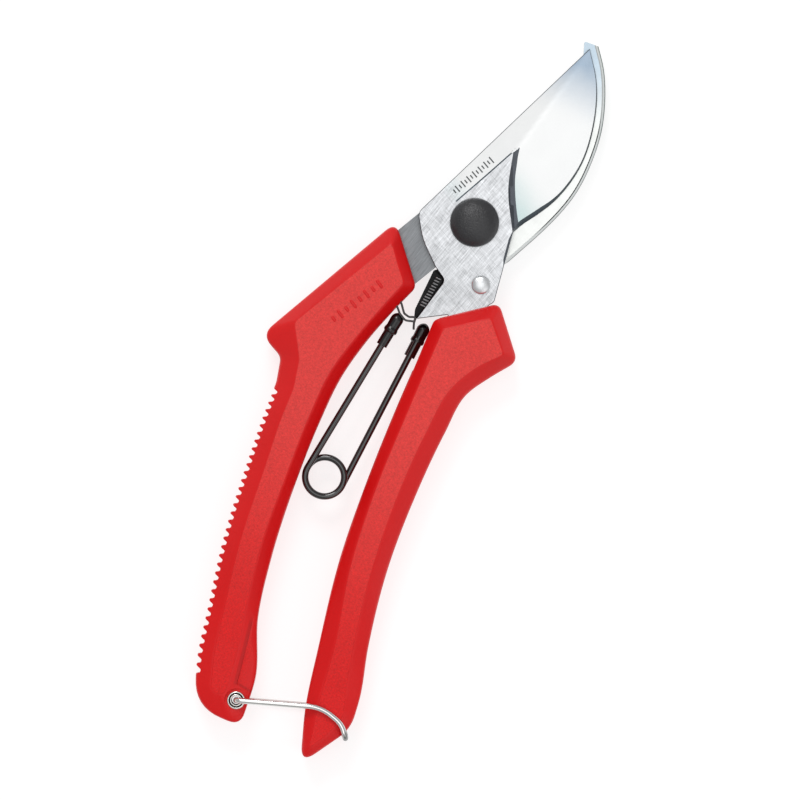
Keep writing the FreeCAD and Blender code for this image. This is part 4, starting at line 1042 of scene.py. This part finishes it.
def buffer_ribs(material):
    """Ribs across the buffer's nose, pale grey as a painted highlight: half-round bars y = w cos t, z = h
    sin t.
    """
    vertices, faces = [], []
    angle = np.linspace(0, np.pi, 9)
    for number in range(11):
        y = -16.9 - 0.8 * number
        middle_x = -2.2 + (y + 15.9) * 0.081
        ends = []
        for x, share in ((middle_x - 0.85, 0.2), (middle_x - 0.65, 1.0), (middle_x + 0.6, 1.0),
                         (middle_x + 0.8, 0.2)):
            ends.append(np.column_stack([np.full(9, x), y + 0.22 * np.cos(angle),
                                         1.0 + 0.62 * share * np.sin(angle)]))
        first = sum(len(rows) for rows in vertices)
        vertices.append(np.concatenate(ends))
        faces += [[first + n for n in quad] for quad in grid_faces(4, 9)]
        faces += [[first + n for n in range(9)], [first + 27 + n for n in range(9)]]
    return make_piece("stop_buffer_ribs", np.concatenate(vertices), faces, [material], "right_half",
                      50.0)


# ---------------------------------------------------------------- settings and operators

VIEW_CENTRE = np.array([1.91, -49.22, 0.0])
SENSOR = 36.0
FLOOR_HALF = 3.0              # metres


def lamp(name, place, size, power):
    """A square soft light aimed at the origin."""
    data = bpy.data.lights.new(name, "AREA")
    data.size = size
    data.energy = power
    light = bpy.data.objects.new(name, data)
    light.location = place
    light.rotation_euler = (-Vector(place)).to_track_quat("-Z", "Y").to_euler()
    bpy.context.scene.collection.objects.link(light)


def paint(node, material):
    """Give every material slot of a CAD node one finish."""
    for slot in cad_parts[node].material_slots:
        slot.material = material


class ShearsSettings(bpy.types.PropertyGroup):
    """Sizes of the details that the operators add."""
    tooth_pitch: bpy.props.FloatProperty(name="Tooth pitch", description="Serrations, in millimetres",
                                         default=2.02, min=1.5, max=4.0)
    tooth_growth: bpy.props.FloatProperty(name="Tooth growth", description="Each tooth over the last",
                                          default=0.011, min=0.001, max=0.05)
    tooth_depth: bpy.props.FloatProperty(name="Tooth depth", description="Serrations, in millimetres",
                                         default=1.2, min=0.3, max=2.0)
    wire_radius: bpy.props.FloatProperty(name="Spring wire", description="Radius in millimetres",
                                         default=0.85, min=0.5, max=1.2)


class StageSettings(bpy.types.PropertyGroup):
    """Camera and floor."""
    roll: bpy.props.FloatProperty(name="Roll", description="Turn of the view about the vertical",
                                  default=math.radians(25), unit="ROTATION")
    field: bpy.props.FloatProperty(name="Field", description="Width seen at the object",
                                   default=0.2048, unit="LENGTH", subtype="DISTANCE")
    distance: bpy.props.FloatProperty(name="Distance", description="Camera above the object",
                                      default=3.2, unit="LENGTH", subtype="DISTANCE")


class SHEARS_OT_left_grip(bpy.types.Operator):
    """Serrated grip with its eyelet seats, hollow and raised bars"""
    bl_idname = "shears.left_grip"
    bl_label = "Left grip"

    def execute(self, context):
        settings = context.scene.shears
        red = moulded_red()
        teeth = (settings.tooth_pitch, settings.tooth_growth, settings.tooth_depth)
        piece = grip_form("left_grip_moulding", LEFT_WALL, LEFT_FACE, LEFT_SPINE, LEFT_STEPS,
                          "left_half", red, 1, teeth)
        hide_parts("left_grip")
        eye = axis_of("eyelet_ring")
        seat = disc(eye, EYE_SEAT_RADIUS)
        carve(piece, [prism(seat, EYE_SEAT, PAST_FACE), prism(seat, -PAST_FACE, -EYE_SEAT),
                      prism(disc(eye, EYE_BORE_RADIUS), -PAST_FACE, PAST_FACE),
                      prism(HOLLOW, HOLLOW_FLOOR, PAST_FACE), prism(HOLLOW, -PAST_FACE, -HOLLOW_FLOOR)])
        raised_bars("left_grip_bars", red, "left_half")
        return {"FINISHED"}


class SHEARS_OT_right_grip(bpy.types.Operator):
    """Plain grip with its groove for the spring's shoe"""
    bl_idname = "shears.right_grip"
    bl_label = "Right grip"

    def execute(self, context):
        red = bpy.data.materials.get("moulded_red") or moulded_red()
        piece = grip_form("right_grip_moulding", RIGHT_WALL, RIGHT_FACE, RIGHT_SPINE, RIGHT_STEPS,
                          "right_half", red, -1)
        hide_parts("right_grip")
        carve(piece, [prism(SHOE_GROOVE, -SHOE_GROOVE_HALF, SHOE_GROOVE_HALF)])
        return {"FINISHED"}


class SHEARS_OT_blades(bpy.types.Operator):
    """Ground cutting blade, and the counter blade's finish"""
    bl_idname = "shears.blades"
    bl_label = "Blades"

    def execute(self, context):
        cutting_blade_form([blade_steel(), painted_shade_steel(), edge_steel()])
        paint("counter_blade", tang_steel())
        return {"FINISHED"}


class SHEARS_OT_spring(bpy.types.Operator):
    """One continuous hairpin spring, and its shoes"""
    bl_idname = "shears.spring"
    bl_label = "Spring"

    def execute(self, context):
        wire = context.scene.shears.wire_radius
        enamel = black_plastic("black_enamel", rgb(9, 8, 9), 0.08, 0.20, 0.5, 0.01, 0.9)
        vertices, faces = tube(hairpin_path(wire, 0.15, 1.5), wire)
        piece = make_piece("hairpin_wire", vertices, faces, [enamel], None,
                           40.0, ["spring_left_arm", "spring_right_arm"])
        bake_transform(piece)
        shoe = black_plastic("shoe_plastic", rgb(9, 8, 9), 0.14, 0.30, 0.35, 0.015, 0.5)
        paint("left_spring_shoe", shoe)
        paint("right_spring_shoe", shoe)
        thin = black_plastic("dark_thin_wire", rgb(58, 56, 56), 0.28, 0.45, 0.3, 0.008, 0.5)
        paint("left_shoe_clip", thin)
        paint("right_shoe_clip", thin)
        return {"FINISHED"}


class SHEARS_OT_fastenings(bpy.types.Operator):
    """Pivot, rivet, stop buffer, eyelet and catch wire"""
    bl_idname = "shears.fastenings"
    bl_label = "Fastenings"

    def execute(self, context):
        cap_dome(black_plastic("satin_cap", rgb(36, 36, 39), 0.30, 0.44, 0.45, 0.14, 0.6))
        rivet_dome(plated("bright_rivet", rgb(224, 226, 228), 0.32, 0.44))
        eyelet_flange(rolled_nickel(axis_of("catch_eyelet")))
        rubber = black_plastic("buffer_rubber", rgb(14, 14, 15), 0.40, 0.62, 0.22, 0.03)
        paint("stop_buffer", rubber)
        # painted highlight: the buffer's ribs are pale grey
        buffer_ribs(black_plastic("rib_painted_highlight", rgb(150, 150, 152), 0.50, 0.70, 0.25, 0.05, 0.4))
        zinc = plated("zinc_plate", rgb(178, 180, 182), 0.26, 0.48)
        for node in ("rivet_burr", "pivot_bolt", "bolt_washer", "thrust_washer", "disc_spring",
                     "pivot_nut", "eyelet_ring"):
            paint(node, zinc)
        paint("catch_wire", bright_wire())
        return {"FINISHED"}


class SHEARS_OT_stage(bpy.types.Operator):
    """Floor, studio light and camera"""
    bl_idname = "shears.stage"
    bl_label = "Stage"

    def execute(self, context):
        settings = context.scene.shears_stage
        floor_mesh = bpy.data.meshes.new("floor")
        corners = [(x * FLOOR_HALF, y * FLOOR_HALF, 0) for x, y in ((-1, -1), (1, -1), (1, 1), (-1, 1))]
        floor_mesh.from_pydata(corners, [], [(0, 1, 2, 3)])
        floor = bpy.data.objects.new("floor", floor_mesh)
        floor.location.z = float(WHOLE[0][2]) - 0.0002
        context.scene.collection.objects.link(floor)
        pale = Finish("pale_floor", roughness=0.9, specular_ior_level=0.1, emission_strength=0.76)
        pale.set("Base Color", (0.985 + pale.noise(60.0) * 0.02).tint((0.33, 0.33, 0.33, 1.0)))
        pale.set("Emission Color", (1.0, 1.0, 1.0, 1.0))
        floor_mesh.materials.append(pale.material)
        world = bpy.data.worlds.new("studio")
        world.use_nodes = True
        background = world.node_tree.nodes["Background"]
        background.inputs["Color"].default_value = (1.0, 1.0, 1.0, 1.0)
        background.inputs["Strength"].default_value = 0.48
        context.scene.world = world
        lamp("key", (-0.55, 0.75, 1.0), 0.5, 6.0)
        lamp("fill", (0.9, -0.35, 0.9), 0.9, 2.0)
        lamp("overhead", (0.0, 0.0, 3.4), 2.2, 19.0)
        context.scene.view_settings.view_transform = "Standard"
        camera_data = bpy.data.cameras.new("camera")
        camera = bpy.data.objects.new("camera", camera_data)
        context.scene.collection.objects.link(camera)
        camera_data.sensor_width = SENSOR
        camera_data.lens = SENSOR * settings.distance / settings.field
        camera_data.clip_end = 10.0
        aim = (VIEW_CENTRE + PIVOT) * MM
        camera.location = (aim[0], aim[1], aim[2] + settings.distance)
        camera.rotation_euler = (0.0, 0.0, settings.roll)
        context.scene.camera = camera
        return {"FINISHED"}


OPERATORS = (SHEARS_OT_left_grip, SHEARS_OT_right_grip, SHEARS_OT_blades, SHEARS_OT_spring,
             SHEARS_OT_fastenings, SHEARS_OT_stage)


class SHEARS_PT_panel(bpy.types.Panel):
    """Lists the operators in the sidebar"""
    bl_idname = "SHEARS_PT_panel"
    bl_label = "Pruning shears"
    bl_space_type = "VIEW_3D"
    bl_region_type = "UI"
    bl_category = "Shears"

    def draw(self, context):
        for operator in OPERATORS:
            self.layout.operator(operator.bl_idname)
        for settings in (context.scene.shears, context.scene.shears_stage):
            for key in settings.bl_rna.properties.keys():
                if key not in ("rna_type", "name"):
                    self.layout.prop(settings, key)


def register():
    for item in (ShearsSettings, StageSettings) + OPERATORS + (SHEARS_PT_panel,):
        bpy.utils.register_class(item)
    bpy.types.Scene.shears = bpy.props.PointerProperty(type=ShearsSettings)
    bpy.types.Scene.shears_stage = bpy.props.PointerProperty(type=StageSettings)


def unregister():
    del bpy.types.Scene.shears_stage
    del bpy.types.Scene.shears
    for item in reversed((ShearsSettings, StageSettings) + OPERATORS + (SHEARS_PT_panel,)):
        bpy.utils.unregister_class(item)


def main():
    register()
    bpy.ops.shears.left_grip()
    bpy.ops.shears.right_grip()
    bpy.ops.shears.blades()
    bpy.ops.shears.spring()
    bpy.ops.shears.fastenings()
    bpy.ops.shears.stage()
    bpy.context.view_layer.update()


if __name__ == "__main__":
    main()
